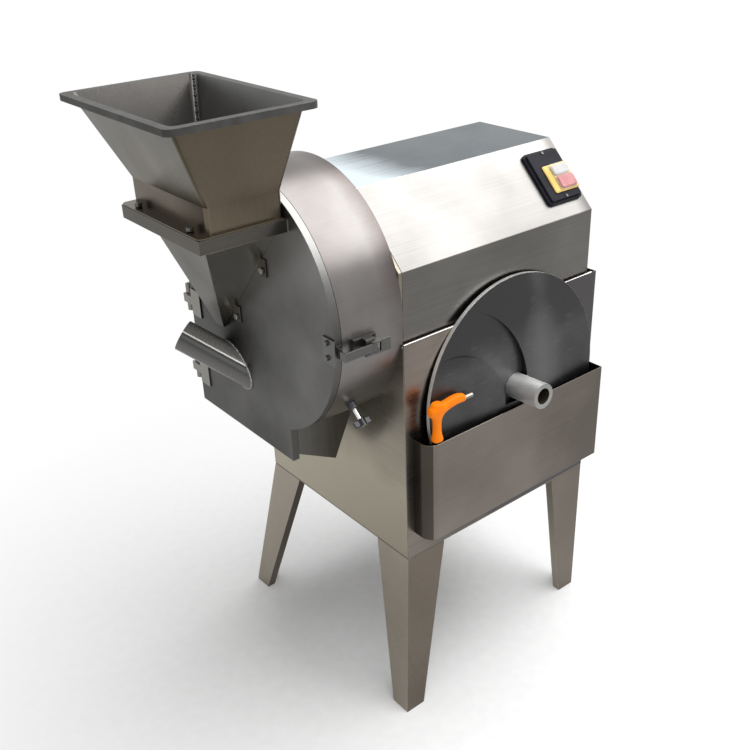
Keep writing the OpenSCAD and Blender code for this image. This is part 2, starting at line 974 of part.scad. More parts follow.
// Solid of the funnel; in = wall inset
module funnel_solid(in) {
    top_z = joint_z - flange_t;
    over = in > 0 ? cut : 0;
    hull() {
        translate([0, 0, top_z - slab])
            linear_extrude(slab + over)
                funnel_top(in);
        translate([drum_x - slab + over, drum_y + tip_y - tip_w / 2 + in, drum_z - tip_drop + 2 * in])
            cube([slab, tip_w - 2 * in, slab]);
    }
}

// Point f of the way down the funnel edge, in the cover plane
function lug_y(f) = fun_y0 + (drum_y + tip_y - tip_w / 2 - fun_y0) * f;
function lug_z(f) = joint_z - flange_t + (drum_z - tip_drop - joint_z + flange_t) * f;

module funnel_lug(f) {
    translate([drum_x - leaf_t, lug_y(f) - lug_w + leaf_t, lug_z(f) - lug_h * 0.7])
        cube([leaf_t, lug_w, lug_h]);
}

module funnel() {
    top_z = joint_z - flange_t;
    x0 = col_x0 - flange_out;
    y0 = col_y0 - flange_front;
    y1 = col_y1 + flange_rear;
    color(steel_c)
        difference() {
            union() {
                funnel_solid(0);
                rect_slab(x0, col_x1, y0, y1, top_z, flange_t);
                difference() {
                    rect_slab(x0, col_x1, y0, y1, top_z - flange_lip, flange_lip);
                    rect_slab(x0 + sheet, col_x1 + cut, y0 + sheet, y1 - sheet,
                              top_z - flange_lip - cut, flange_lip + cut);
                }
                for (f = lug_at)
                    funnel_lug(f);
            }
            funnel_solid(sheet);
            intersection() {
                translate([0, 0, top_z - cut])
                    linear_extrude(flange_t + 2 * cut)
                        funnel_top(sheet);
                rect_slab(col_x0 + sheet, col_x1 - sheet, col_y0 + sheet, col_y1 - sheet,
                          top_z - 2 * cut, flange_t + 4 * cut);
            }
        }
}

module hopper_bolts() {
    color(bright_c)
        for (y = [col_y0 + 40, col_y1 - 40])
            translate([col_x0 - flange_out / 2, y, joint_z + flange_t])
                cylinder(h = 7, r = 7, $fn = 6);
}

module lug_bolts() {
    color(bright_c)
        for (f = lug_at)
            translate([drum_x - leaf_t, lug_y(f) - lug_w / 2, lug_z(f) - lug_h * 0.35])
                rotate([0, -90, 0])
                    cylinder(h = 6, r = 6.5, $fn = 6);
}

// Fixed half of one hinge: leaf on the drum side, two outer knuckles
module hinge_half_fixed(zm) {
    k = hinge_l / 3;
    for (s = [-1, 1])
        difference() {
            union() {
                translate([hinge_x, hinge_y, zm + s * k - k / 2])
                    cylinder(h = k, r = barrel_r);
                span([hinge_x, drum_y1 + leaf_t, zm + s * k - k / 2],
                     [hinge_x + 20, hinge_y + barrel_r, zm + s * k + k / 2]);
            }
            translate([hinge_x, hinge_y, zm + s * k - k / 2 - cut])
                cylinder(h = k + 2 * cut, r = hinge_pin_r);
        }
    span([shell_x, drum_y1, zm - hinge_l / 2], [shell_x + 40, drum_y1 + leaf_t, zm + hinge_l / 2]);
}

module hinge_fixed() {
    color(steel_c) {
        hinge_half_fixed(hinge_z1);
        hinge_half_fixed(hinge_z2);
    }
}

// Moving half: leaf on the cover face, one middle knuckle
module hinge_half_moving(zm) {
    k = hinge_l / 3;
    difference() {
        union() {
            translate([hinge_x, hinge_y, zm - k / 2 + move_c])
                cylinder(h = k - 2 * move_c, r = barrel_r);
            span([drum_x - leaf_t, drum_y1 - 5, zm - k / 2 + move_c],
                 [hinge_x, hinge_y + barrel_r, zm + k / 2 - move_c]);
        }
        translate([hinge_x, hinge_y, zm - k])
            cylinder(h = 2 * k, r = hinge_pin_r + run_c);
        span([drum_x, drum_y1 - 10, zm - k], [hinge_x + cut, drum_y1 + 0.2, zm + k]);
    }
    span([drum_x - leaf_t, drum_y1 - 40, zm - hinge_l / 2], [drum_x, drum_y1 - 5, zm + hinge_l / 2]);
}

module hinge_moving() {
    color(steel_c) {
        hinge_half_moving(hinge_z1);
        hinge_half_moving(hinge_z2);
    }
}

module hinge_pins() {
    color(bright_c)
        for (zm = [hinge_z1, hinge_z2])
            translate([hinge_x, hinge_y, zm - hinge_l / 2 - 2])
                cylinder(h = hinge_l + 4, r = hinge_pin_r);
}

module keeper() {
    y_rim = drum_y - drum_r;
    color(bright_c)
        difference() {
            union() {
                span([drum_x - leaf_t, y_rim - leaf_t, latch_z - 24], [drum_x, y_rim + 32, latch_z + 24]);
                span([drum_x - leaf_t, y_rim - leaf_t, latch_z - 14], [drum_x + 10, y_rim + 6, latch_z + 14]);
                span([drum_x + 4, keeper_y, latch_z - 10], [drum_x + 8, y_rim, latch_z + 10]);
                for (s = [-1, 1])
                    translate([drum_x - leaf_t - 4, y_rim + 20, latch_z + s * 14])
                        rotate([0, 90, 0])
                            cylinder(h = 4, r = 5);
            }
            rod_x(drum_x, 0, drum_y, drum_z, drum_r, $fn = 720);
        }
}

module latch_base() {
    hw = latch_w / 2;
    color(steel_c)
        difference() {
            union() {
                span([latch_x - 26, latch_y + 6.5, latch_z - hw], [latch_x + 22, latch_y + 20, latch_z + hw]);
                for (s = [-1, 1])
                    span([latch_x - 10, latch_y - 7, latch_z + s * hw],
                         [latch_x + 10, latch_y + 8, latch_z + s * (hw - 4)]);
                translate([latch_x, latch_y, latch_z - hw])
                    cylinder(h = latch_w, r = latch_pin_r);
            }
            rod_x(shell_x, 0, drum_y, drum_z, drum_r, $fn = 720);
        }
}

// Lever of the draw latch: two cheeks joined by the handle web
module latch_lever() {
    hw = latch_w / 2 - 4 - move_c;
    color(bright_c)
        difference() {
            union() {
                for (s = [-1, 1])
                    translate([0, 0, latch_z + (s > 0 ? hw - 3 : -hw)])
                        linear_extrude(3)
                            hull() {
                                translate([latch_x, latch_y])
                                    circle(5.5, $fn = 32);
                                translate([link_x, link_y])
                                    circle(5, $fn = 32);
                                translate([latch_x + lever_l, latch_y - 12])
                                    circle(3, $fn = 32);
                            }
                span([latch_x + 16, latch_y - 15, latch_z - hw], [latch_x + lever_l + 3, latch_y - 11, latch_z + hw]);
                translate([link_x, link_y, latch_z - hw])
                    cylinder(h = 2 * hw, r = link_pin_r);
            }
            translate([latch_x, latch_y, latch_z - hw - cut])
                cylinder(h = 2 * hw + 2 * cut, r = latch_pin_r + run_c);
        }
}

module latch_link() {
    hw = latch_w / 2 - 4 - move_c - 3 - move_c;
    color(bright_c)
        difference() {
            union() {
                translate([link_x, link_y, latch_z - hw])
                    cylinder(h = 2 * hw, r = 4.5);
                span([drum_x + 1, link_y - 2, latch_z - hw], [link_x, link_y + 2, latch_z + hw]);
                span([drum_x + 1, link_y, latch_z - hw], [drum_x + 4, keeper_y - 2 * move_c, latch_z + hw]);
            }
            translate([link_x, link_y, latch_z - hw - cut])
                cylinder(h = 2 * hw + 2 * cut, r = link_pin_r + run_c);
        }
}

module knob_boss() {
    color(steel_c)
        difference() {
            knob_axis()
                translate([0, 0, drum_r - 3])
                    cylinder(h = 15, r = 9);
            rod_x(shell_x, 0, drum_y, drum_z, drum_r, $fn = 720);
            knob_axis()
                translate([0, 0, drum_r - 20])
                    cylinder(h = 60, r = 4 + run_c);
        }
}

module lock_knob() {
    color(dark_c)
        knob_axis() {
            translate([0, 0, drum_r - 6])
                cylinder(h = 40, r = 4);
            translate([0, 0, drum_r + 34])
                cylinder(h = 14, r = 8);
            translate([-17, -3, drum_r + 36])
                cube([34, 6, 10]);
        }
}

// Frame of the switch on the sloping panel: Y up the slope, Z out of the panel
module on_slope() {
    translate([switch_x, 0, eave_z])
        rotate([slope_a, 0, 0])
            translate([0, switch_u, 0])
                children();
}

module switch_box() {
    color(black_c)
        on_slope()
            difference() {
                union() {
                    cube([switch_w, switch_l, switch_h]);
                    for (x = [flap_x - 1.5, flap_x + flap_s - 2.5])
                        translate([x, flap_pin_u - 4, switch_h - cut])
                            cube([4, 8, 10]);
                }
                translate([flap_x + 6, flap_u + 6, 4])
                    cube([flap_s - 12, flap_s - 12, switch_h]);
                for (u = [start_u, stop_u])
                    translate([flap_x + flap_s / 2, flap_u + u, -cut])
                        cylinder(h = switch_h, r = stem_r + run_c);
                translate([flap_x - 4, flap_pin_u, flap_pin_z])
                    rotate([0, 90, 0])
                        cylinder(h = flap_s + 8, r = flap_pin_r + run_c);
            }
}

module switch_screws() {
    color(bright_c)
        on_slope()
            for (u = [screw_u, switch_l - screw_u])
                translate([switch_w / 2, u, switch_h])
                    difference() {
                        cylinder(h = screw_h, r = screw_r);
                        translate([-screw_r, -screw_slot / 2, screw_h / 2])
                            cube([2 * screw_r, screw_slot, screw_h]);
                    }
}

module switch_flap() {
    color(yellow_c)
        on_slope()
            difference() {
                union() {
                    translate([flap_x, flap_u, switch_h + move_c])
                        cube([flap_s, flap_s - 3, 7]);
                    translate([flap_x + 5, flap_pin_u - 8, flap_pin_z - 2.5])
                        cube([flap_s - 10, 8, 5]);
                    translate([flap_x + 5, flap_pin_u, flap_pin_z])
                        rotate([0, 90, 0])
                            cylinder(h = flap_s - 10, r = 3);
                    translate([flap_x - 1.5, flap_pin_u, flap_pin_z])
                        rotate([0, 90, 0])
                            cylinder(h = flap_s + 3, r = flap_pin_r);
                }
                translate([flap_x + flap_s / 2, flap_u + pad_u, switch_h - cut])
                    cylinder(h = 12, r = pad_stem_r + run_c);
            }
}

module stop_pad() {
    color(red_c)
        on_slope()
            translate([flap_x + flap_s / 2, flap_u + pad_u, switch_h + move_c]) {
                translate([0, 0, 10])
                    cylinder(h = 6, r = 15);
                translate([0, 0, 1])
                    cylinder(h = 9, r = pad_stem_r);
            }
}

module push_button(u) {
    on_slope()
        translate([flap_x + flap_s / 2, flap_u + u, 0]) {
            translate([0, 0, button_z])
                cylinder(h = button_t, r = button_r);
            translate([0, 0, stem_z])
                cylinder(h = button_z - stem_z, r = stem_r);
        }
}

module start_button() {
    color(green_c)
        push_button(start_u);
}

module stop_button() {
    color(red_c)
        push_button(stop_u);
}

module key_handle() {
    r = key_grip / 2;
    color(orange_c)
        difference() {
            union() {
                translate([key_x, -key_y, pocket_z1 + 0.1])
                    cylinder(h = 16, r1 = 12, r2 = r - 0.5);
                translate([key_x, -key_y, pocket_z1 + 10])
                    cylinder(h = 46, r = r - 0.5);
                hull() {
                    translate([key_x - 14, -key_y, grip_z])
                        sphere(r + 2, $fn = 32);
                    translate([key_x + 4, -key_y, grip_z + 8])
                        sphere(r, $fn = 32);
                }
                hull() {
                    translate([key_x + 4, -key_y, grip_z + 8])
                        sphere(r, $fn = 32);
                    translate([key_x + 56, -key_y, grip_z + 6])
                        sphere(r - 1, $fn = 32);
                }
            }
            translate([key_x, -key_y, pocket_z1 - cut])
                cylinder(h = 66, r = key_af / sqrt(3), $fn = 6);
            translate([key_x + 30, -key_y, grip_z + 6])
                rotate([0, 90, 0])
                    cylinder(h = 60, r = key_af / sqrt(3), $fn = 6);
        }
}

module key_shank() {
    color(bright_c) {
        translate([key_x, -key_y, pocket_floor + 0.2])
            cylinder(h = pocket_z1 + 60 - pocket_floor, r = key_af / sqrt(3), $fn = 6);
        translate([key_x + 32, -key_y, grip_z + 6])
            rotate([0, 90, 0])
                cylinder(h = 58, r = key_af / sqrt(3), $fn = 6);
    }
}

place() {
    base_pan();
    mount_plate();
    front_panel();
    rear_panel();
    end_panel();
    hood();
    leg_front_drum();
    leg_rear_drum();
    leg_front_end();
    leg_rear_end();
    pocket();
    drum_shell();
    knife_holder();
    slicing_knife();
    bearing_housing();
    bearing_front();
    bearing_rear();
    strip_bush();
    cross_bush();
    motor_mount();
    motor();
    drive_belt();
    cutter_belt();
    switch_box();
    switch_screws();
    latch_base();
    knob_boss();
    hinge_fixed();
    hinge_pins();
    cover_plate();
    hopper();
    funnel();
    feed_tube();
    hinge_moving();
    keeper();
    hopper_bolts();
    lug_bolts();
    main_shaft();
    rotor();
    rotor_bolt();
    driven_pulley();
    cutter_drive_pulley();
    strip_spindle();
    strip_knives();
    strip_pulley();
    cross_spindle();
    cross_pulley();
    motor_shaft();
    motor_pulley();
    latch_lever();
    latch_link();
    lock_knob();
    switch_flap();
    stop_pad();
    start_button();
    stop_button();
    spare_rotor();
    key_handle();
    key_shank();
}
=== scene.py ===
"""Looks of the root vegetable dicer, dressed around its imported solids.

Lengths in the classes are millimetres, measured from the cabinet's drum side face, the hood's front wall and the floor.
"""

import json
import logging
import math
from collections.abc import Callable, Sequence
from dataclasses import dataclass
from enum import Enum
from functools import partial
from typing import TypeAlias

import bpy
from mathutils import Matrix, Vector


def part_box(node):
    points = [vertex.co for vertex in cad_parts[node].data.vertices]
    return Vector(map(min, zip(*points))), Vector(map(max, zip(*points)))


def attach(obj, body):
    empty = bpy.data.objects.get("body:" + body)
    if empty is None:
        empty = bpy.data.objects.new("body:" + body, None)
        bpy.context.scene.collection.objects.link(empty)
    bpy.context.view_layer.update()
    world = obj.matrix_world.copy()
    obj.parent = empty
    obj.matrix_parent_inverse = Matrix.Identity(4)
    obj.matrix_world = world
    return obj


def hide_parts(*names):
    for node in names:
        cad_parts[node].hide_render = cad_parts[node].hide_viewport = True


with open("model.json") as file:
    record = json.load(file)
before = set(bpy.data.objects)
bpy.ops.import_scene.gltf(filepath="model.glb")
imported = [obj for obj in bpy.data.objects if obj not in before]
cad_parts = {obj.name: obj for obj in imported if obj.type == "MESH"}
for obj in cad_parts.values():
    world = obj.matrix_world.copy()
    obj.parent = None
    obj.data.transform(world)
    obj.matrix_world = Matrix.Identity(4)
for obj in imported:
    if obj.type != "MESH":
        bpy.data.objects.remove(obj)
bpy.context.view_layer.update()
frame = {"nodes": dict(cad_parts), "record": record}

log = logging.getLogger("dicer")
MM = 0.001
UP, FRONT, DRUMWARD = (0, 0, 1), (0, -1, 0), (-1, 0, 0)
WHITE = (1.0, 1.0, 1.0, 1.0)

Triple: TypeAlias = tuple[float, float, float]
Limits: TypeAlias = tuple[float, float, float, float]
Value: TypeAlias = "Sock | float"
Test: TypeAlias = Callable[[Vector, Vector], bool]
Patch: TypeAlias = "tuple[Finish, Test]"
Growth: TypeAlias = tuple[tuple[Triple, float], ...]


class Datum:
    """Where the maker's measuring corner sits in the shared frame."""

    corner = Vector((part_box("mount_plate")[0].x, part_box("hood")[0].y, 0.0))

    @classmethod
    def at(cls, x: float, y: float, z: float) -> Vector:
        """Turns maker's millimetres into a point of the shared frame.

        Args:
            x: Distance from the drum side face of the cabinet.
            y: Distance behind the hood's front wall.
            z: Height above the floor.

        Returns:
            The point in metres.
        """
        return cls.corner + Vector((x, y, z)) * MM


@dataclass(frozen=True)
class Sock:
    """A node socket that takes part in Python arithmetic."""

    sheet: "NodeSheet"
    link: bpy.types.NodeSocket

    def _maths(self, operation: str, first: "Value", second: "Value") -> "Sock":
        """Adds one Math node.

        Args:
            operation: Name of the Math operation.
            first: Left hand value.
            second: Right hand value.

        Returns:
            The result as a socket.
        """
        return self.sheet.node("ShaderNodeMath", {"operation": operation}, {0: first, 1: second})

    def __add__(self, other: "Value") -> "Sock":
        """Sum."""
        return self._maths("ADD", self, other)

    __radd__ = __add__

    def __sub__(self, other: "Value") -> "Sock":
        """Difference."""
        return self._maths("SUBTRACT", self, other)

    def __rsub__(self, other: "Value") -> "Sock":
        """Difference from a number."""
        return self._maths("SUBTRACT", other, self)

    def __mul__(self, other: "Value") -> "Sock":
        """Product."""
        return self._maths("MULTIPLY", self, other)

    __rmul__ = __mul__

    def top(self, other: "Value") -> "Sock":
        """The larger of two values."""
        return self._maths("MAXIMUM", self, other)

    def wave(self) -> "Sock":
        """Sine of the value, stretched to lie between 0 and 1."""
        return self._maths("SINE", self, 0.0) * 0.5 + 0.5


class NodeSheet:
    """A node tree, cleared and ready to be wired."""

    def __init__(self, tree: bpy.types.NodeTree) -> None:
        """Clears the tree."""
        self.tree = tree
        tree.nodes.clear()

    def node(self, kind: str, settings: dict | None = None, inputs: dict | None = None, out: int | str = 0) -> Sock:
        """Adds a node, sets it and wires it.

        Args:
            kind: Blender's type name of the node.
            settings: Attributes set first; "stops" fills a colour ramp.
            inputs: Values or sockets by input name or number.
            out: Output to hand back.

        Returns:
            The chosen output.
        """
        made = self.tree.nodes.new(kind)
        for key, value in (settings or {}).items():
            if key == "stops":
                self._fill_ramp(made.color_ramp, value)
            else:
                setattr(made, key, value)
        for key, value in (inputs or {}).items():
            if isinstance(value, Sock):
                self.tree.links.new(value.link, made.inputs[key])
            else:
                made.inputs[key].default_value = value
        return Sock(self, made.outputs[out])

    @staticmethod
    def _fill_ramp(ramp: bpy.types.ColorRamp, stops: Sequence[tuple[float, Triple]]) -> None:
        """Sets a ramp's stops.

        Args:
            ramp: The ramp.
            stops: Place and colour of each stop.
        """
        while len(ramp.elements) < len(stops):
            ramp.elements.new(1.0)
        for element, (place, colour) in zip(ramp.elements, stops):
            element.position = place
            element.color = (*colour, 1.0)

    def close(self, kind: str, shader: Sock) -> None:
        """Wires a shader to a new output node of the given type."""
        self.tree.links.new(shader.link, self.tree.nodes.new(kind).inputs["Surface"])

    def spot(self) -> Sock:
        """Object coordinates."""
        return self.node("ShaderNodeTexCoord", out="Object")

    def scaled(self, vector: Sock, scale: Triple) -> Sock:
        """A vector, scaled along each axis."""
        return self.node("ShaderNodeMapping", None, {"Vector": vector, "Scale": scale})

    def vector(self, operation: str, first: Sock, second: Sequence[float] = (0, 0, 0), out: int | str = 0) -> Sock:
        """Vector Math on a vector and a fixed one.

        Args:
            operation: Name of the Vector Math operation.
            first: The vector.
            second: The fixed vector, where the operation takes one.
            out: Output to hand back.

        Returns:
            The chosen output.
        """
        return self.node("ShaderNodeVectorMath", {"operation": operation}, {0: first, 1: tuple(second)}, out)

    def noise(self, scale: float, detail: float, stretch: Triple = (1, 1, 1)) -> Sock:
        """Soft noise between 0 and 1.

        Args:
            scale: Cells per metre.
            detail: Octaves.
            stretch: Scale of the coordinates along each axis.

        Returns:
            The noise value.
        """
        inputs = {"Vector": self.scaled(self.spot(), stretch), "Scale": scale, "Detail": detail}
        return self.node("ShaderNodeTexNoise", None, inputs)

    def ramp(self, value: Sock, *stops: tuple[float, Triple]) -> Sock:
        """Colour ramp over a value."""
        return self.node("ShaderNodeValToRGB", {"stops": stops}, {"Fac": value})

    def grey(self, value: Sock, low: float, high: float) -> Sock:
        """Stretches a value so that low becomes 0 and high becomes 1, held at both ends."""
        settings = {"clamp": True}
        return self.node("ShaderNodeMapRange", settings, {"Value": value, "From Min": low, "From Max": high})

    def bump(self, height: Sock, strength: float, distance: float) -> Sock:
        """Bump normal from a height value."""
        return self.node("ShaderNodeBump", None, {"Height": height, "Strength": strength, "Distance": distance})


class Grain(Enum):
    """Direction of the brush lines, as noise scale along X, Y and Z."""

    ALONG_X = (5.0, 380.0, 380.0)
    ALONG_Y = (380.0, 5.0, 380.0)
    ALONG_Z = (380.0, 380.0, 5.0)
    NONE = (60.0, 60.0, 60.0)


class Axis(Enum):
    """Axis of the shared frame along which a tone fades."""

    X = 0
    Y = 1
    Z = 2


@dataclass(frozen=True)
class Fade:
    """Painted light or shade: a change of tone along one axis, between two places given in millimetres."""

    axis: Axis
    start: float
    end: float
    by: float

    def tone(self, sheet: NodeSheet) -> Sock:
        """Tone to add, from nothing at the start to the full change at the end."""
        low, high = (Datum.at(end, end, end)[self.axis.value] for end in (self.start, self.end))
        along = sheet.node("ShaderNodeSeparateXYZ", None, {"Vector": sheet.spot()}, self.axis.value)
        return sheet.grey(along, low, high) * self.by


@dataclass(frozen=True)
class Finish:
    """A named surface finish."""

    name: str
    slot: str

    def material(self) -> bpy.types.Material:
        """The finish as a material, made once."""
        found = bpy.data.materials.get(self.name)
        if found:
            return found
        made = bpy.data.materials.new(self.name)
        made.use_nodes = True
        sheet = NodeSheet(made.node_tree)
        sheet.close("ShaderNodeOutputMaterial", sheet.node("ShaderNodeBsdfPrincipled", None, self.sockets(sheet)))
        return made

    def sockets(self, sheet: NodeSheet) -> dict:
        """Values of the shader's sockets.

        Args:
            sheet: Where the nodes go.

        Returns:
            Values and links by socket name.
        """
        raise NotImplementedError


@dataclass(frozen=True)
class BrushedSteel(Finish):
    """Stainless sheet with brush lines, cloudy tone and hand smears."""

    LEVEL, CLOUDS = 0.2, 0.6
    SMEARS, LINES = 0.55, 0.45
    DARK_AT, LIGHT_AT = 0.25, 0.78
    DEPTH = 0.0006

    dark: Triple
    light: Triple
    grain: Grain = Grain.ALONG_X
    smooth: float = 0.24
    rough: float = 0.42
    relief: float = 0.06
    streak: float = 0.2
    shift: float = 0.0
    # fades: painted light and shade, as changes of tone by place
    fades: tuple[Fade, ...] = ()

    def sockets(self, sheet: NodeSheet) -> dict:
        """Brush lines drive tone, gloss and a fine relief; see Finish.sockets."""
        lines = sheet.noise(scale=1.0, detail=2.0, stretch=self.grain.value)
        cloud = sheet.noise(scale=5.0, detail=4.0)
        smear = sheet.grey(sheet.noise(scale=9.0, detail=5.0, stretch=(1.0, 1.0, 0.45)), low=0.38, high=0.72)
        level = self.LEVEL + self.shift - self.streak / 2
        tone = sum((fade.tone(sheet) for fade in self.fades), lines * self.streak + cloud * self.CLOUDS + level)
        return {
            "Base Color": sheet.ramp(tone, (self.DARK_AT, self.dark), (self.LIGHT_AT, self.light)),
            "Metallic": 1.0,
            "Roughness": self.smooth + (self.rough - self.smooth) * (smear * self.SMEARS + lines * self.LINES),
            "Normal": sheet.bump(lines, self.relief, self.DEPTH),
        }


@dataclass(frozen=True)
class CastMetal(Finish):
    """Cast or blasted metal with a pebbled skin."""

    CLOUDS, PEBBLES = 0.8, 0.2
    RELIEF, DEPTH = 0.18, 0.0006

    dark: Triple
    light: Triple
    metallic: float = 1.0
    rough: float = 0.5
    pebble: float = 420.0

    def sockets(self, sheet: NodeSheet) -> dict:
        """Pebbles drive relief, clouds drive tone; see Finish.sockets."""
        skin = sheet.noise(scale=self.pebble, detail=3.0)
        cloud = sheet.noise(scale=11.0, detail=5.0)
        return {
            "Base Color": sheet.ramp(cloud * self.CLOUDS + skin * self.PEBBLES, (0.3, self.dark), (0.72, self.light)),
            "Metallic": self.metallic,
            "Roughness": self.rough - 0.12 + cloud * 0.16 + skin * 0.08,
            "Normal": sheet.bump(skin, self.RELIEF, self.DEPTH),
        }


@dataclass(frozen=True)
class TurnedDisc(Finish):
    """Disc faced on a lathe: fine rings about an axis along Y, with scuffs."""

    RING_RATE = 2600.0
    LEVEL, CLOUDS, RINGS, SCUFFS = 0.04, 0.6, 0.12, 0.12
    RELIEF, DEPTH = 0.06, 0.0004

    centre: Vector
    dark: Triple = (0.050, 0.050, 0.050)
    light: Triple = (0.145, 0.144, 0.146)
    # fades: painted light and shade, as changes of tone by place
    fades: tuple[Fade, ...] = ()

    def sockets(self, sheet: NodeSheet) -> dict:
        """Rings and scuffs drive tone, gloss and relief; see Finish.sockets."""
        flat = sheet.scaled(sheet.vector("SUBTRACT", sheet.spot(), self.centre), (1.0, 0.0, 1.0))
        rings = (sheet.vector("LENGTH", flat, out="Value") * self.RING_RATE).wave()
        cloud = sheet.noise(scale=7.0, detail=5.0)
        scuff = sheet.grey(sheet.noise(scale=38.0, detail=4.0, stretch=(1.0, 1.0, 3.0)), low=0.56, high=0.74)
        tone = cloud * self.CLOUDS + rings * self.RINGS + scuff * self.SCUFFS + self.LEVEL
        tone = sum((fade.tone(sheet) for fade in self.fades), tone)
        return {
            "Base Color": sheet.ramp(tone, (0.28, self.dark), (0.8, self.light)),
            "Metallic": 1.0,
            "Roughness": 0.36 + cloud * 0.12 + scuff * 0.1,
            "Normal": sheet.bump(rings * 0.4 + cloud * 0.6, self.RELIEF, self.DEPTH),
        }


@dataclass(frozen=True)
class PolishedTube(Finish):
    """Polished tube with painted reflections: long bands of light and dark painted along its axis, with fine scratches.
    """

    WAVER = 0.012
    TINT = (1.0, 0.98, 0.94)
    REFLECTION_BANDS = ((0.0, 0.2), (0.14, 0.34), (0.3, 0.28), (0.345, 0.2), (0.355, 1.0), (0.395, 1.0), (0.405, 0.02),
              (0.58, 0.03), (0.7, 0.1), (0.88, 0.13), (1.0, 0.07))

    entry: Vector
    across: Vector
    radius: float

    def sockets(self, sheet: NodeSheet) -> dict:
        """Place across the tube, against the view, drives the painted reflection bands; see Finish.sockets."""
        arm = sheet.vector("SUBTRACT", sheet.spot(), self.entry)
        side = sheet.vector("DOT_PRODUCT", arm, self.across, out="Value")
        scratch = sheet.noise(scale=4.0, detail=4.0, stretch=Grain.NONE.value)
        band = side * (0.5 / self.radius) + (0.5 - self.WAVER / 2) + scratch * self.WAVER
        return {
            "Base Color": sheet.ramp(band, *[(at, tuple(shade * t for t in self.TINT)) for at, shade in self.REFLECTION_BANDS]),
            "Metallic": 0.35,
            "Roughness": 0.26 + scratch * 0.03,
            "Normal": sheet.bump(scratch, strength=0.004, distance=0.0003),
        }


@dataclass(frozen=True)
class Moulded(Finish):
    """Moulded plastic, rubber or dull rolled edge with a fine spark texture."""

    DEPTH = 0.0004

    tone: Triple
    deep: Triple
    rough: float
    spark: float = 900.0
    relief: float = 0.1
    shine: float = 0.4

    def sockets(self, sheet: NodeSheet) -> dict:
        """Spark texture drives relief and gloss; see Finish.sockets."""
        skin = sheet.noise(scale=self.spark, detail=2.0)
        cloud = sheet.noise(scale=26.0, detail=4.0)
        return {
            "Base Color": sheet.ramp(cloud, (0.3, self.deep), (0.66, self.tone)),
            "Roughness": self.rough - 0.06 + skin * 0.08 + cloud * 0.06,
            "Specular IOR Level": self.shine,
            "Normal": sheet.bump(skin, self.relief, self.DEPTH),
        }


@dataclass(frozen=True)
class ClearPlastic(Finish):
    """Clear moulded cover with faint haze."""

    thin: Triple = (0.80, 0.79, 0.77)
    thick: Triple = (0.92, 0.91, 0.90)

    def sockets(self, sheet: NodeSheet) -> dict:
        """Haze drives gloss and cover; see Finish.sockets."""
        haze = sheet.noise(scale=60.0, detail=3.0)
        return {
            "Base Color": sheet.ramp(haze, (0.3, self.thin), (0.7, self.thick)),
            "Roughness": 0.05 + haze * 0.1,
            "Specular IOR Level": 0.2,
            "Alpha": 0.1 + haze * 0.14,
            "IOR": 1.45,
        }


class Pick(Enum):
    """What an edit selects."""

    VERT = (True, False, False)
    EDGE = (False, True, False)
    FACE = (False, False, True)


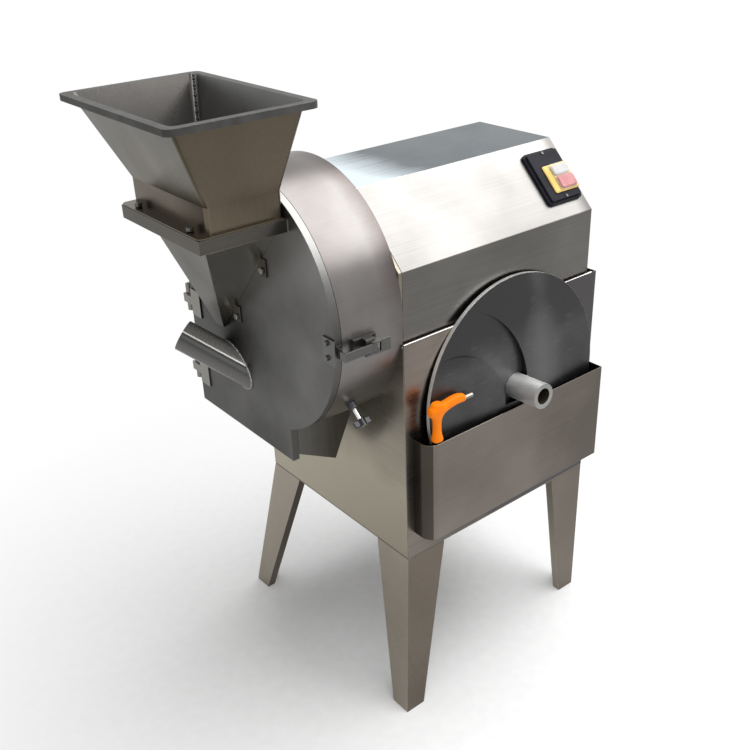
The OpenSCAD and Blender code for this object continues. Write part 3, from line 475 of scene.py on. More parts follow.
class Bench:
    """The modelling bench: adds, edits and finishes pieces."""

    SMOOTH_ANGLE = 34.0
    SWELL, SWELL_RATE = 0.16, 2.4
    VOXEL = 0.28

    @staticmethod
    def clear() -> None:
        """Leaves edit mode and selects nothing."""
        if bpy.context.object and bpy.context.object.mode != "OBJECT":
            bpy.ops.object.mode_set(mode="OBJECT")
        bpy.ops.object.select_all(action="DESELECT")

    @staticmethod
    def take(piece: bpy.types.Object) -> None:
        """Makes one piece the only one selected."""
        Bench.clear()
        piece.select_set(True)
        bpy.context.view_layer.objects.active = piece

    @staticmethod
    def apply_place(piece: bpy.types.Object) -> None:
        """Moves the piece's place into its mesh."""
        Bench.take(piece)
        bpy.ops.object.transform_apply(location=True, rotation=True, scale=True)

    @staticmethod
    def block(name: str, low: Vector, high: Vector) -> bpy.types.Object:
        """Box between two corners.

        Args:
            name: Name of the piece.
            low: Lowest corner in metres.
            high: Highest corner in metres.

        Returns:
            The piece.
        """
        Bench.clear()
        bpy.ops.mesh.primitive_cube_add(size=1.0, location=(low + high) / 2, scale=high - low)
        return Bench._named(name)

    @staticmethod
    def outline(name: str, low: Vector, high: Vector) -> bpy.types.Object:
        """Flat rectangle between two corners of the same height."""
        Bench.clear()
        size = high - low
        bpy.ops.mesh.primitive_plane_add(size=1.0, location=(low + high) / 2)
        bpy.context.object.scale = (size.x, size.y, 1.0)
        return Bench._named(name)

    @staticmethod
    def _named(name: str) -> bpy.types.Object:
        """Names the newest piece and settles its place."""
        piece = bpy.context.object
        piece.name = name
        piece.data.name = name
        Bench.apply_place(piece)
        return piece

    @staticmethod
    def edit(piece: bpy.types.Object, what: Pick, test: Test) -> None:
        """Enters edit mode with some of the piece selected.

        Args:
            piece: The piece.
            what: Vertices, edges or faces.
            test: Takes the middle and the direction of an element and says whether it is selected.
        """
        Bench.take(piece)
        mesh = piece.data
        for group in (mesh.vertices, mesh.edges, mesh.polygons):
            for element in group:
                element.select = False
        if what is Pick.VERT:
            for vertex in mesh.vertices:
                vertex.select = test(vertex.co, vertex.normal)
        elif what is Pick.EDGE:
            for edge in mesh.edges:
                a, b = (mesh.vertices[i].co for i in edge.vertices)
                edge.select = test((a + b) / 2, (b - a).normalized())
        else:
            for face in mesh.polygons:
                face.select = test(face.center, face.normal)
        bpy.context.tool_settings.mesh_select_mode = what.value
        bpy.ops.object.mode_set(mode="EDIT")

    @staticmethod
    def modify(piece: bpy.types.Object, kind: str, **settings: object) -> None:
        """Adds one modifier and applies it.

        Args:
            piece: The piece.
            kind: Type of the modifier.
            settings: Its attributes.
        """
        Bench.take(piece)
        modifier = piece.modifiers.new(kind.title(), kind)
        for key, value in settings.items():
            setattr(modifier, key, value)
        bpy.ops.object.modifier_apply(modifier=modifier.name)

    @staticmethod
    def soften(piece: bpy.types.Object, width: float, steps: int, angle: float = 32.0) -> None:
        """Rounds the sharp edges.

        Args:
            piece: The piece.
            width: Width of the rounding in millimetres.
            steps: Number of facets across it.
            angle: Edges sharper than this many degrees are rounded.
        """
        Bench.modify(piece, "BEVEL", width=width * MM, segments=steps, limit_method="ANGLE",
                     angle_limit=math.radians(angle), use_clamp_overlap=True, miter_outer="MITER_ARC")

    @staticmethod
    def bead(name: str, points: Sequence[Vector], radius: float) -> bpy.types.Object:
        """Weld bead: a chain of drops run together.

        Args:
            name: Name of the piece.
            points: Middle of each drop in metres.
            radius: Radius of a drop in millimetres.

        Returns:
            The piece.
        """
        drops = []
        for number, point in enumerate(points):
            Bench.clear()
            size = radius * MM * (1.0 + Bench.SWELL * math.sin(number * Bench.SWELL_RATE))
            bpy.ops.mesh.primitive_ico_sphere_add(subdivisions=2, radius=size, location=point)
            drops.append(Bench._named(f"{name}_{number}"))
        piece = drops[0]
        Bench.take(piece)
        for drop in drops[1:]:
            drop.select_set(True)
        bpy.ops.object.join()
        piece.name = name
        Bench.modify(piece, "REMESH", mode="VOXEL", voxel_size=radius * MM * Bench.VOXEL)
        Bench.modify(piece, "SMOOTH", factor=0.5, iterations=2)
        return piece

    @staticmethod
    def done(piece: bpy.types.Object, finish: Finish, body: str, replaces: Sequence[str] = (),
             faces: Sequence["Patch"] = ()) -> None:
        """Shades, dresses and hangs a finished piece.

        Args:
            piece: The piece.
            finish: Its finish.
            body: Body that carries it.
            replaces: Solids that it stands for.
            faces: Other finishes, each with a test of the faces that take it.
        """
        Bench.take(piece)
        bpy.ops.object.shade_smooth_by_angle(angle=math.radians(Bench.SMOOTH_ANGLE))
        Bench.modify(piece, "WEIGHTED_NORMAL", keep_sharp=True)
        piece.data.materials.clear()
        piece.data.materials.append(finish.material())
        for number, (other, test) in enumerate(faces, 1):
            piece.data.materials.append(other.material())
            for face in piece.data.polygons:
                if test(face.center, face.normal):
                    face.material_index = number
        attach(piece, body)
        if replaces:
            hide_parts(*replaces)
        log.info("%s on %s, %d faces", piece.name, body, len(piece.data.polygons))


satin = partial(BrushedSteel, slot="satin_steel")
bright = partial(BrushedSteel, slot="bright_steel")
warm = partial(BrushedSteel, slot="hopper_steel")


class Shop:
    """The finishes, one for each look in the machine."""

    # Front panel: painted shade, darker towards the bottom and much darker towards the end away from the drum.
    panel = satin("front_panel_steel", dark=(0.078, 0.074, 0.075), light=(0.318, 0.269, 0.222),
                  fades=(Fade(Axis.Z, 700, 560, -0.1), Fade(Axis.X, 200, 480, -0.6)))
    rear = satin("rear_panel_steel", dark=(0.150, 0.130, 0.112), light=(0.235, 0.212, 0.190))
    # Drum side plate: painted reflection, lighter towards the bottom.
    side = satin("drum_side_steel", dark=(0.100, 0.092, 0.080), light=(0.360, 0.325, 0.255), grain=Grain.ALONG_Y,
                 fades=(Fade(Axis.Z, 640, 400, 0.5),))
    end = satin("end_panel_steel", dark=(0.165, 0.148, 0.130), light=(0.250, 0.230, 0.205), grain=Grain.ALONG_Y)
    # Legs: one steel in two painted tones. Faces towards the drum end are painted lighter as lit faces, and the rest
    # are painted darker as shaded faces.
    leg_side_lit = satin("leg_side_steel", dark=(0.230, 0.200, 0.165), light=(0.360, 0.325, 0.270), grain=Grain.ALONG_Z)
    leg_front_shaded = satin("leg_front_steel", dark=(0.110, 0.092, 0.074), light=(0.190, 0.164, 0.136), grain=Grain.ALONG_Z)
    # Pocket: painted shade, darker towards the end away from the drum. Its side wall towards the drum takes a
    # near-black painted shade.
    pocket = satin("pocket_steel", dark=(0.110, 0.094, 0.080), light=(0.235, 0.207, 0.182),
                   fades=(Fade(Axis.X, 300, 505, -0.3),))
    pocket_side_shade = satin("pocket_bend_steel", dark=(0.042, 0.036, 0.029), light=(0.085, 0.073, 0.060),
                        grain=Grain.ALONG_Z)
    # Hem strip: a painted highlight, far brighter than the panel, along the panel's top edge.
    hem = satin("hem_steel", dark=(0.62, 0.58, 0.56), light=(0.90, 0.86, 0.84), smooth=0.3, rough=0.46)
    # Hood: one sheet in three tones. The top and the sloping face are painted lighter than the front wall, as lit
    # faces. The top is painted near white towards the drum end, which is a painted reflection, and the slope's fades
    # are painted light and shade.
    hood_top_lit = bright("hood_top_steel", dark=(0.070, 0.095, 0.108), light=(0.820, 0.930, 0.990), smooth=0.2, rough=0.36,
                      streak=0.3, shift=-0.37, fades=(Fade(Axis.X, 200, 0, 0.95),))
    slope = bright("hood_slope_steel", dark=(0.140, 0.134, 0.128), light=(0.290, 0.282, 0.272), smooth=0.26, rough=0.4,
                   fades=(Fade(Axis.X, 200, 0, -0.1), Fade(Axis.X, 330, 470, 0.2), Fade(Axis.X, 475, 505, -0.5)))
    hood = bright("hood_wall_steel", dark=(0.090, 0.086, 0.080), light=(0.182, 0.176, 0.166), smooth=0.26, rough=0.4)
    # Drum band: painted light and shade. It is slightly lighter from 700 mm up, darker towards the top and darker
    # towards the cabinet.
    drum = bright("drum_band_steel", dark=(0.095, 0.078, 0.073), light=(0.260, 0.256, 0.250), smooth=0.28, rough=0.4,
                  relief=0.04, streak=0.08,
                  fades=(Fade(Axis.Z, 700, 760, 0.06), Fade(Axis.Z, 900, 1000, -0.1), Fade(Axis.X, -40, 0, -0.2)))
    # Outlet below the drum: painted shade, darker than the shell above.
    outlet_shade = bright("outlet_steel", dark=(0.060, 0.058, 0.052), light=(0.150, 0.146, 0.136), grain=Grain.ALONG_Z)
    plate = bright("keeper_steel", dark=(0.085, 0.084, 0.081), light=(0.150, 0.148, 0.143), grain=Grain.NONE,
                   rough=0.38, relief=0.05)
    fitting = bright("fitting_steel", dark=(0.24, 0.235, 0.225), light=(0.42, 0.41, 0.40), grain=Grain.NONE,
                     smooth=0.18, rough=0.34, relief=0.05)
    hinge = bright("hinge_steel", dark=(0.150, 0.142, 0.126), light=(0.270, 0.258, 0.232), grain=Grain.NONE,
                   rough=0.4, relief=0.05)
    polish = bright("polished_steel", dark=(0.55, 0.55, 0.54), light=(0.80, 0.80, 0.79), grain=Grain.NONE,
                    smooth=0.12, rough=0.24, relief=0.03)
    # Cover: painted light, lighter towards the top and towards the front.
    cover = BrushedSteel("cover_steel_matt", "cover_steel", dark=(0.050, 0.049, 0.047), light=(0.230, 0.227, 0.220),
                         grain=Grain.ALONG_Y, smooth=0.34, rough=0.48, relief=0.03, streak=0.04, shift=-0.22,
                         fades=(Fade(Axis.Z, 880, 1080, 0.45), Fade(Axis.Y, 240, 60, 0.12)))
    # Hopper: one sheet in painted tones by the way each wall faces. It is darker towards the rim. The inside far wall
    # is painted darker, the inside wall at the drum is painted lighter grey, and the outer wall away from the drum is
    # painted darker and olive.
    hopper = warm("hopper_steel_warm", dark=(0.075, 0.061, 0.044), light=(0.152, 0.124, 0.092), grain=Grain.ALONG_Z,
                  rough=0.4, fades=(Fade(Axis.Z, 1150, 1250, -0.12),))
    hopper_inside = warm("hopper_inside_steel", dark=(0.055, 0.052, 0.049), light=(0.105, 0.100, 0.094),
                         grain=Grain.ALONG_Z, smooth=0.22, rough=0.34)
    hopper_side = warm("hopper_drum_side_steel", dark=(0.135, 0.135, 0.134), light=(0.260, 0.260, 0.258),
                       grain=Grain.ALONG_Z, smooth=0.34, rough=0.46)
    hopper_left = warm("hopper_outer_steel", dark=(0.050, 0.042, 0.026), light=(0.118, 0.100, 0.064),
                       grain=Grain.ALONG_Z, rough=0.4, fades=(Fade(Axis.Z, 1130, 1250, -0.2),))
    # Turned rim: painted shade, a dark dull top in place of bright steel. Its crest takes a painted highlight.
    hopper_rim_shaded = Moulded("hopper_rim_painted_shade", "hopper_steel", (0.075, 0.074, 0.071), (0.045, 0.044, 0.042),
                         rough=0.36, spark=300.0, relief=0.04, shine=0.06)
    rim_crest_highlight = warm("rim_crest_steel", dark=(0.20, 0.20, 0.195), light=(0.55, 0.55, 0.54), grain=Grain.NONE,
                    smooth=0.16, rough=0.3)
    # Funnel: one sheet in three tones. The front lip is painted darker, and the downward front face is painted much
    # lighter, as painted light where it lies in shade.
    funnel = warm("funnel_steel", dark=(0.064, 0.058, 0.047), light=(0.112, 0.102, 0.086), grain=Grain.ALONG_Z,
                  smooth=0.38, rough=0.5)
    funnel_lip = warm("funnel_lip_steel", dark=(0.050, 0.046, 0.040), light=(0.105, 0.098, 0.088),
                      smooth=0.22, rough=0.36)
    funnel_underside_lit = warm("funnel_front_steel", dark=(0.290, 0.275, 0.242), light=(0.560, 0.535, 0.480),
                        grain=Grain.ALONG_Z, smooth=0.26, rough=0.4)
    # Bore: painted light, a brassy tone raised so that the hole does not render black.
    bore = CastMetal("bore_painted_light", "rotor_metal", (0.12, 0.105, 0.08), (0.42, 0.35, 0.24), rough=0.4, pebble=300.0)
    iron = CastMetal("dark_casting", "cast_iron", (0.05, 0.05, 0.055), (0.11, 0.11, 0.115))
    knob = CastMetal("dark_knob", "cast_iron", (0.02, 0.02, 0.022), (0.05, 0.05, 0.052), rough=0.26, pebble=300.0)
    weld = CastMetal("weld_metal", "bright_steel", (0.10, 0.095, 0.09), (0.34, 0.33, 0.315), rough=0.34, pebble=650.0)
    hub = CastMetal("hub_casting", "rotor_metal", (0.24, 0.24, 0.235), (0.42, 0.42, 0.41), rough=0.42, pebble=520.0)
    # Disc edge: a painted highlight, far brighter than the disc's face.
    disc_edge_highlight = CastMetal("disc_edge_highlight", "rotor_metal", (0.62, 0.62, 0.615), (0.92, 0.92, 0.91), pebble=300.0)
    bronze = CastMetal("bronze_bush", "bronze", (0.4, 0.27, 0.1), (0.6, 0.44, 0.2), rough=0.32, pebble=300.0)
    paint = CastMetal("motor_paint", "motor_paint", (0.03, 0.06, 0.1), (0.06, 0.1, 0.16), metallic=0.0, rough=0.42,
                      pebble=500.0)
    rubber = Moulded("belt_rubber", "belt_rubber", (0.03, 0.03, 0.03), (0.015, 0.015, 0.015), rough=0.8, spark=700.0,
                     relief=0.3)
    black = Moulded("black_moulding", "black_plastic", (0.016, 0.016, 0.022), (0.008, 0.008, 0.012), rough=0.42,
                    spark=800.0, relief=0.12, shine=0.07)
    yellow = Moulded("yellow_moulding", "yellow_plastic", (0.68, 0.46, 0.12), (0.58, 0.37, 0.07), rough=0.34)
    red = Moulded("red_moulding", "red_plastic", (0.42, 0.045, 0.05), (0.32, 0.03, 0.035), rough=0.32)
    pale = Moulded("pale_button", "black_plastic", (0.42, 0.42, 0.42), (0.33, 0.33, 0.33), rough=0.35)
    green = Moulded("green_moulding", "green_plastic", (0.03, 0.32, 0.1), (0.02, 0.22, 0.06), rough=0.3)
    orange = Moulded("orange_moulding", "orange_plastic", (0.98, 0.245, 0.004), (0.86, 0.19, 0.003), rough=0.4,
                     spark=500.0, relief=0.08, shine=0.1)
    clear = ClearPlastic("clear_cover", "yellow_plastic")

    BY_SLOT: dict[str, Finish] = {finish.slot: finish for finish in (
        rear, fitting, hopper, cover, hub, iron, bronze, paint, rubber, black, yellow, red, green, orange)}


class Carried:
    """Solids carried over from the frame."""

    WELD = 0.00002
    bodies: dict[str, str] = {
        node: body for body, nodes in frame["record"]["behaviour"]["bodies"].items() for node in nodes
    }
    slots: dict[str, str] = {part["node"]: part["material_slot"] for part in frame["record"]["subparts"]}

    @classmethod
    def dress_all(cls) -> None:
        """Gives every solid the finish of its slot."""
        for node, solid in frame["nodes"].items():
            solid.data.materials.clear()
            solid.data.materials.append(Shop.BY_SLOT[cls.slots[node]].material())

    @classmethod
    def soft(cls, node: str, finish: Finish, width: float, steps: int = 2,
             faces: Sequence["Patch"] = (), flat: float = 0.6) -> None:
        """Copies a solid with its sheared edges rounded, and shows the copy in its place.

        Args:
            node: Name of the solid.
            finish: Finish of the copy.
            width: Width of the rounding in millimetres.
            steps: Facets across the rounding.
            faces: Other finishes and the faces that take them.
            flat: Faces that meet at less than this many degrees become one before the rounding.
        """
        piece = bpy.data.objects.new(f"{node}_sheet", frame["nodes"][node].data.copy())
        bpy.context.scene.collection.objects.link(piece)
        Bench.edit(piece, Pick.VERT, lambda place, normal: True)
        bpy.ops.mesh.remove_doubles(threshold=cls.WELD)
        if flat:
            bpy.ops.mesh.dissolve_limited(angle_limit=math.radians(flat))
        Bench.clear()
        Bench.soften(piece, width, steps)
        Bench.done(piece, finish, cls.bodies[node], [node], faces)


def faces_towards(way: Sequence[float], share: float = 0.7) -> Test:
    """Test for faces that look one way.

    Args:
        way: The direction.
        share: Least cosine between the face's direction and it.

    Returns:
        The test.
    """
    return lambda place, normal: normal.dot(Vector(way)) > share


@dataclass
class Cabinet:
    """Sheet cabinet, hood and legs."""

    fold: float = 1.2
    leg_fold: float = 1.4
    hem: tuple[Triple, Triple] = ((0.5, -9.9, 821.5), (515.0, -5.0, 826.6))
    hem_fold: float = 1.4
    slope_way: Triple = (0, -0.71, 0.71)

    def build(self) -> None:
        """Makes every sheet of the cabinet."""
        Carried.soft("front_panel", Shop.panel, self.fold)
        self.step_hem()
        for node in ("rear_panel", "base_pan"):
            Carried.soft(node, Shop.rear, self.fold, flat=0.0)
        Carried.soft("mount_plate", Shop.side, self.fold)
        Carried.soft("end_panel", Shop.end, self.fold)
        slope, top = faces_towards(self.slope_way, 0.8), faces_towards(UP, 0.9)
        # the sloping face and the top take painted lit tones
        Carried.soft("hood", Shop.hood, self.fold, 3, [(Shop.slope, slope), (Shop.hood_top_lit, top)])
        for node in ("leg_front_drum", "leg_rear_drum", "leg_front_end", "leg_rear_end"):
            # faces towards the drum end take the painted lit tone
            Carried.soft(node, Shop.leg_front_shaded, self.leg_fold, 2, [(Shop.leg_side_lit, faces_towards(DRUMWARD))])

    def step_hem(self) -> None:
        """Adds a rounded strip along the hemmed top edge of the front panel."""
        piece = Bench.block("step_hem", *(Datum.at(*corner) for corner in self.hem))
        Bench.soften(piece, self.hem_fold, 3)
        # the hem strip is dressed in a painted highlight
        Bench.done(piece, Shop.hem, "cabinet")


@dataclass
class Drum:
    """Fixed drum shell with outlet, its latch, lock screw and hinges."""

    fold: float = 1.2
    edge: float = 0.5
    outlet_top: float = 640.0
    lever_lit_way: Triple = (0, -0.3, 0.95)
    lock_angle: float = -140.0
    stem_radius: float = 6.0

    def build(self) -> None:
        """Makes the shell and the fittings on it."""
        foot = Datum.at(0, 0, self.outlet_top).z
        # the shell below the outlet's top takes the painted shade
        Carried.soft("drum_shell", Shop.drum, self.fold, 3, [(Shop.outlet_shade, lambda place, normal: place.z < foot)], 0.0)
        for node in ("hinge_fixed", "hinge_moving", "hinge_pins"):
            Carried.soft(node, Shop.hinge, self.edge)
        for node in ("latch_base", "latch_link", "keeper"):
            Carried.soft(node, Shop.plate, self.edge)
        # the lever's upward faces take the brighter fitting steel, a painted highlight
        Carried.soft("latch_lever", Shop.plate, self.edge, 2, [(Shop.fitting, faces_towards(self.lever_lit_way, 0.6))])
        Carried.soft("knob_boss", Shop.iron, self.edge)
        self.lock_screw()

    def lock_screw(self) -> None:
        """Dresses the lock screw: bright stem, dark wing."""
        low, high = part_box("knob_boss")
        middle = (low + high) / 2
        turn = math.radians(self.lock_angle)
        axis = Vector((0.0, math.cos(turn), math.sin(turn)))

        def stem(place: Vector, normal: Vector) -> bool:
            """Round stem about the screw's axis."""
            arm = place - middle
            return (arm - axis * arm.dot(axis)).length < self.stem_radius * MM

        Carried.soft("lock_knob", Shop.knob, self.edge, 2, [(Shop.polish, stem)])


@dataclass
class FeedSide:
    """Swinging cover with hopper, funnel and feed tube; rectangles are given as limits along X, then Y."""

    cover_fold: float = 0.8
    funnel_fold: float = 2.0
    shaded_way: Triple = (0, -0.757, -0.654)
    bolt_edge: float = 0.8
    rim: Limits = (-375.0, -108.0, 50.0, 432.0)
    throat: Limits = (-361.0, -122.0, 64.0, 418.0)
    collar: Limits = (-294.0, -153.0, 112.0, 370.0)
    flange: Limits = (-318.0, -153.0, 104.0, 376.0)
    rim_z: float = 1264.0
    rim_lip: float = 11.0
    bend_z: float = 1118.0
    joint_z: float = 1073.0
    corner: float = 9.0
    wall: float = 2.0
    bend_fold: float = 3.0
    bend_angle: float = 25.0
    wall_lean: float = 0.3
    outer_lean: float = 0.5
    crest_rise: tuple[float, float] = (0.4, 0.93)
    tube_entry: Triple = (-150.0, 328.0, 713.5)
    tube_way: Triple = (-0.568, 0.665, 0.487)
    tube_radius: float = 31.75
    tube_edge: float = 0.6
    view_way: Triple = (0.545, 0.698, -0.464)
    bead: float = 3.0
    weld_inset: float = 4.5
    weld_drop: float = 4.0
    corner_drops: int = 27
    ring_drops: int = 64

    def build(self) -> None:
        """Makes the cover and all that hangs on it."""
        Carried.soft("cover_plate", Shop.cover, self.cover_fold, 2, flat=0.0)
        lip, shaded = faces_towards(FRONT, 0.9), faces_towards(self.shaded_way, 0.9)
        # the front lip takes a painted darker tone, the shaded underside a painted lighter one
        Carried.soft("funnel", Shop.funnel, self.funnel_fold, 3, [(Shop.funnel_lip, lip), (Shop.funnel_underside_lit, shaded)])
        self.tube()
        Carried.soft("hopper_bolts", Shop.plate, self.bolt_edge)
        Carried.soft("lug_bolts", Shop.fitting, self.bolt_edge)
        self.hopper()
        self.corner_weld()
        self.tube_weld()

    def hopper(self) -> None:
        """Folds the hopper out of one sheet: flange, collar, tapered walls and turned rim."""
        low, high = (Datum.at(self.flange[i], self.flange[i + 2], self.joint_z) for i in (0, 1))
        piece = Bench.outline("hopper_sheet", low, high)
        Bench.edit(piece, Pick.VERT, lambda place, normal: True)
        bpy.ops.mesh.bevel(offset=self.corner * MM, segments=4, affect="VERTICES")
        bpy.ops.mesh.delete(type="ONLY_FACE")
        bpy.ops.mesh.select_all(action="SELECT")
        mouth_z = self.rim_z - self.wall / 2
        levels = [(self.flange, self.joint_z), (self.collar, self.joint_z), (self.collar, self.bend_z),
                  (self.throat, mouth_z), (self.rim, mouth_z), (self.rim, self.rim_z - self.rim_lip)]
        for (start, start_z), (end, end_z) in zip(levels, levels[1:]):
            self._loft(start, start_z, end, end_z)
        Bench.clear()
        Bench.modify(piece, "SOLIDIFY", thickness=self.wall * MM, offset=0.0, use_even_offset=True)
        Bench.soften(piece, self.bend_fold, 3, self.bend_angle)
        Bench.done(piece, Shop.hopper, "cover", ["hopper"], self._hopper_faces())

    def _hopper_faces(self) -> list["Patch"]:
        """Finishes of the hopper's other faces, each with its test: painted light and shade by the way each wall faces,
        a painted dark top on the turned rim and a painted highlight on its crest.
        """
        low, high = (Datum.at(self.throat[i], self.throat[i + 2], 0) for i in (0, 1))
        middle = (low + high) / 2
        bend, lip = (Datum.at(0, 0, z).z for z in (self.bend_z, self.rim_z - self.rim_lip - self.wall))

        def inner(axis: Axis) -> Test:
            """Test for the inner side of the wall at the far end of an axis."""
            i = axis.value
            return lambda place, normal: place.z > bend and normal[i] < -self.wall_lean and place[i] > middle[i]

        def outer(place: Vector, normal: Vector) -> bool:
            """Outer side of the wall away from the drum."""
            return place.z > bend and normal.x < -self.outer_lean and place.x < middle.x

        def turned(place: Vector, normal: Vector) -> bool:
            """Turned rim, outside the mouth, which takes the painted dark top."""
            return place.z > lip and not (low.x < place.x < high.x and low.y < place.y < high.y)

        def crest(place: Vector, normal: Vector) -> bool:
            """Rounded outer crest of the rim, which takes the painted highlight."""
            least, most = self.crest_rise
            return turned(place, normal) and least < normal.z < most and (place - middle).dot(normal) > 0.0

        return [(Shop.hopper_inside, inner(Axis.Y)), (Shop.hopper_side, inner(Axis.X)), (Shop.hopper_left, outer),
                (Shop.hopper_rim_shaded, turned), (Shop.rim_crest_highlight, crest)]

    def tube(self) -> None:
        """Dresses the feed tube in bands of painted reflection, placed across the line of view."""
        across = Vector(self.tube_way).cross(Vector(self.view_way)).normalized()
        entry = Datum.at(*self.tube_entry)
        finish = PolishedTube("feed_tube_painted_reflections", "bright_steel", entry, across, self.tube_radius * MM)
        Carried.soft("feed_tube", finish, self.tube_edge)

    def corner_weld(self) -> None:
        """Lays the stitched weld in the far inner corner of the hopper."""
        inset = self.weld_inset
        top = Datum.at(self.throat[1] - inset, self.throat[3] - inset, self.rim_z - self.weld_drop)
        foot = Datum.at(self.collar[1] - inset, self.collar[3] - inset, self.bend_z)
        points = [top.lerp(foot, i / (self.corner_drops - 1)) for i in range(self.corner_drops)]
        Bench.done(Bench.bead("hopper_corner_weld", points, self.bead), Shop.knob, "cover")

    def tube_weld(self) -> None:
        """Lays the weld where the feed tube meets the cover."""
        way = Vector(self.tube_way)
        entry = Datum.at(*self.tube_entry)
        across = way.cross(Vector(DRUMWARD)).normalized() * self.tube_radius * MM
        along = Vector((0, way.y, way.z)).normalized() * self.tube_radius * MM / abs(way.x)
        turns = [math.tau * i / self.ring_drops for i in range(self.ring_drops)]
        points = [entry + across * math.cos(t) + along * math.sin(t) for t in turns]
        Bench.done(Bench.bead("feed_tube_weld", points, self.bead), Shop.weld, "cover")

    @staticmethod
    def _loft(start: Limits, start_z: float, end: Limits, end_z: float) -> None:
        """Extrudes the open outline from one rectangle to the next.

        Args:
            start: Limits of the present rectangle, X then Y.
            start_z: Its height.
            end: Limits of the next rectangle.
            end_z: Its height.
        """
        centre = Datum.at((start[0] + start[1]) / 2, (start[2] + start[3]) / 2, start_z)
        target = Datum.at((end[0] + end[1]) / 2, (end[2] + end[3]) / 2, end_z)
        scale = ((end[1] - end[0]) / (start[1] - start[0]), (end[3] - end[2]) / (start[3] - start[2]), 1.0)
        bpy.ops.mesh.extrude_region_move(TRANSFORM_OT_translate={"value": (0.0, 0.0, 0.0)})
        bpy.ops.transform.resize(value=scale, center_override=centre)
        bpy.ops.transform.translate(value=target - centre)


@dataclass(frozen=True)
class Ring:
    """Faces between two distances from an axis, steeper than a share and beyond a foot along it."""

    least: float
    most: float
    share: float = 2.0
    foot: float = -1000.0

    def test(self, centre: Vector, way: Vector) -> Test:
        """Test for the ring's faces.

        Args:
            centre: Point on the axis in metres.
            way: Direction of the axis.

        Returns:
            The test.
        """
        def inside(place: Vector, normal: Vector) -> bool:
            """Whether a face lies in the ring."""
            arm = (place - centre) / MM
            rise = arm.dot(way)
            off_axis = (arm - way * rise).length
            return self.least <= off_axis < self.most and abs(normal.dot(way)) < self.share and rise > self.foot

        return inside


@dataclass
class Store:
    """Front pocket with the spare rotor and the hex key."""

    FACING, NEAR = 0.8, 0.0002

    fold: float = 0.9
    spare: Triple = (273.0, -20.76, 655.0)
    lean: float = 3.5
    hub: Ring = Ring(0.0, 27.5, foot=17.0)
    barrel: Ring = Ring(0.0, 27.5, share=0.3, foot=17.0)
    channel_wall_shade: Ring = Ring(28.0, 226.0, share=0.5)
    edge: Ring = Ring(228.4, 260.0)
    bore: Ring = Ring(0.0, 17.5, share=0.5)
    sheen: tuple[Fade, ...] = (Fade(Axis.X, 285, 335, 0.32), Fade(Axis.X, 350, 410, -0.32),
                               Fade(Axis.Z, 730, 820, -0.34))
    key: Triple = (48.0, -44.0, 622.1)
    key_edge: float = 0.3
    key_blank: tuple[Triple, Triple] = ((-14, -12, 0), (14, 12, 8))
    key_stem: Growth = (((0, 0, 9), 0.7), ((0, 0, 26), 0.95), ((0, 0, 13), 1.3), ((0, 0, 23), 1.15), ((0, 0, 6), 0.8))
    key_arm: Growth = (((13, 0, 4), 1.0), ((19, 0, 3), 0.96), ((17, 0, -2), 0.9), ((9, 0, -4), 0.8))
    key_heel: Growth = (((-8, 0, -1), 0.75),)
    key_head: float = 50.0

    def build(self) -> None:
        """Makes the pocket and what stands in it."""
        # the pocket's side wall towards the drum takes the painted shade
        Carried.soft("pocket", Shop.pocket, self.fold, 2, [(Shop.pocket_side_shade, faces_towards(DRUMWARD, 0.45))])
        self.spare_disc()
        Carried.soft("key_shank", Shop.hinge, self.key_edge)
        self.handle()

    def spare_disc(self) -> None:
        """Dresses the spare rotor: faced disc with a painted sheen, channel wall in painted shade, pale hub, painted
        highlights on the edge and on the hub's side, and painted light in the bore.
        """
        centre = Datum.at(*self.spare)
        way = Vector((0, -math.cos(math.radians(self.lean)), math.sin(math.radians(self.lean))))
        disc = TurnedDisc("spare_disc", "rotor_metal", centre, fades=self.sheen)
        # channel wall: painted shade; edge and hub side: painted highlight; bore: painted light
        rings = [(Shop.hub, self.hub), (Shop.disc_edge_highlight, self.barrel), (Shop.knob, self.channel_wall_shade),
                 (Shop.disc_edge_highlight, self.edge), (Shop.bore, self.bore)]
        patches = [(finish, ring.test(centre, way)) for finish, ring in rings]
        Carried.soft("spare_rotor", disc, self.fold, 2, patches)

    def handle(self) -> None:
        """Moulds the grip of the hex key: a flared foot, a narrow stem and a bent arm."""
        foot = Datum.at(*self.key)
        piece = Bench.block("key_grip", *(foot + Vector(corner) * MM for corner in self.key_blank))
        self._grow(piece, Vector((0, 0, 1)), self.key_stem)
        self._grow(piece, Vector((1, 0, 0)), self.key_arm, self.key_head)
        self._grow(piece, Vector((-1, 0, 0)), self.key_heel, self.key_head)
        Bench.modify(piece, "SUBSURF", levels=3, render_levels=3)
        Bench.done(piece, Shop.orange, "hex_key", ["key_handle"])

    def _grow(self, piece: bpy.types.Object, way: Vector, steps: Growth, above: float = 0.0) -> None:
        """Extrudes the outermost face of a blank several times.

        Args:
            piece: The blank.
            way: Direction that the face looks.
            steps: Move in millimetres and scale of each extrusion.
            above: The face lies at least this high above the foot, in millimetres.
        """
        floor = Datum.at(*self.key).z + above * MM
        faces = [f for f in piece.data.polygons if f.normal.dot(way) > self.FACING and f.center.z >= floor]
        tip = max(f.center.dot(way) for f in faces)
        spot = next(f.center.copy() for f in faces if f.center.dot(way) == tip)
        Bench.edit(piece, Pick.FACE, lambda place, normal: normal.dot(way) > self.FACING and place.z >= floor
                   and place.dot(way) > tip - self.NEAR)
        for move, scale in steps:
            spot = spot + Vector(move) * MM
            bpy.ops.mesh.extrude_region_move(TRANSFORM_OT_translate={"value": Vector(move) * MM})
            bpy.ops.transform.resize(value=(scale, scale, scale), center_override=spot)
        Bench.clear()


@dataclass(frozen=True)
class Slab:
    """Rounded slab with a stepped shoulder: corners of its lower step, radius, shoulder and rise of the upper step."""

    name: str
    low: Triple
    high: Triple
    corner: float
    step: float
    rise: float


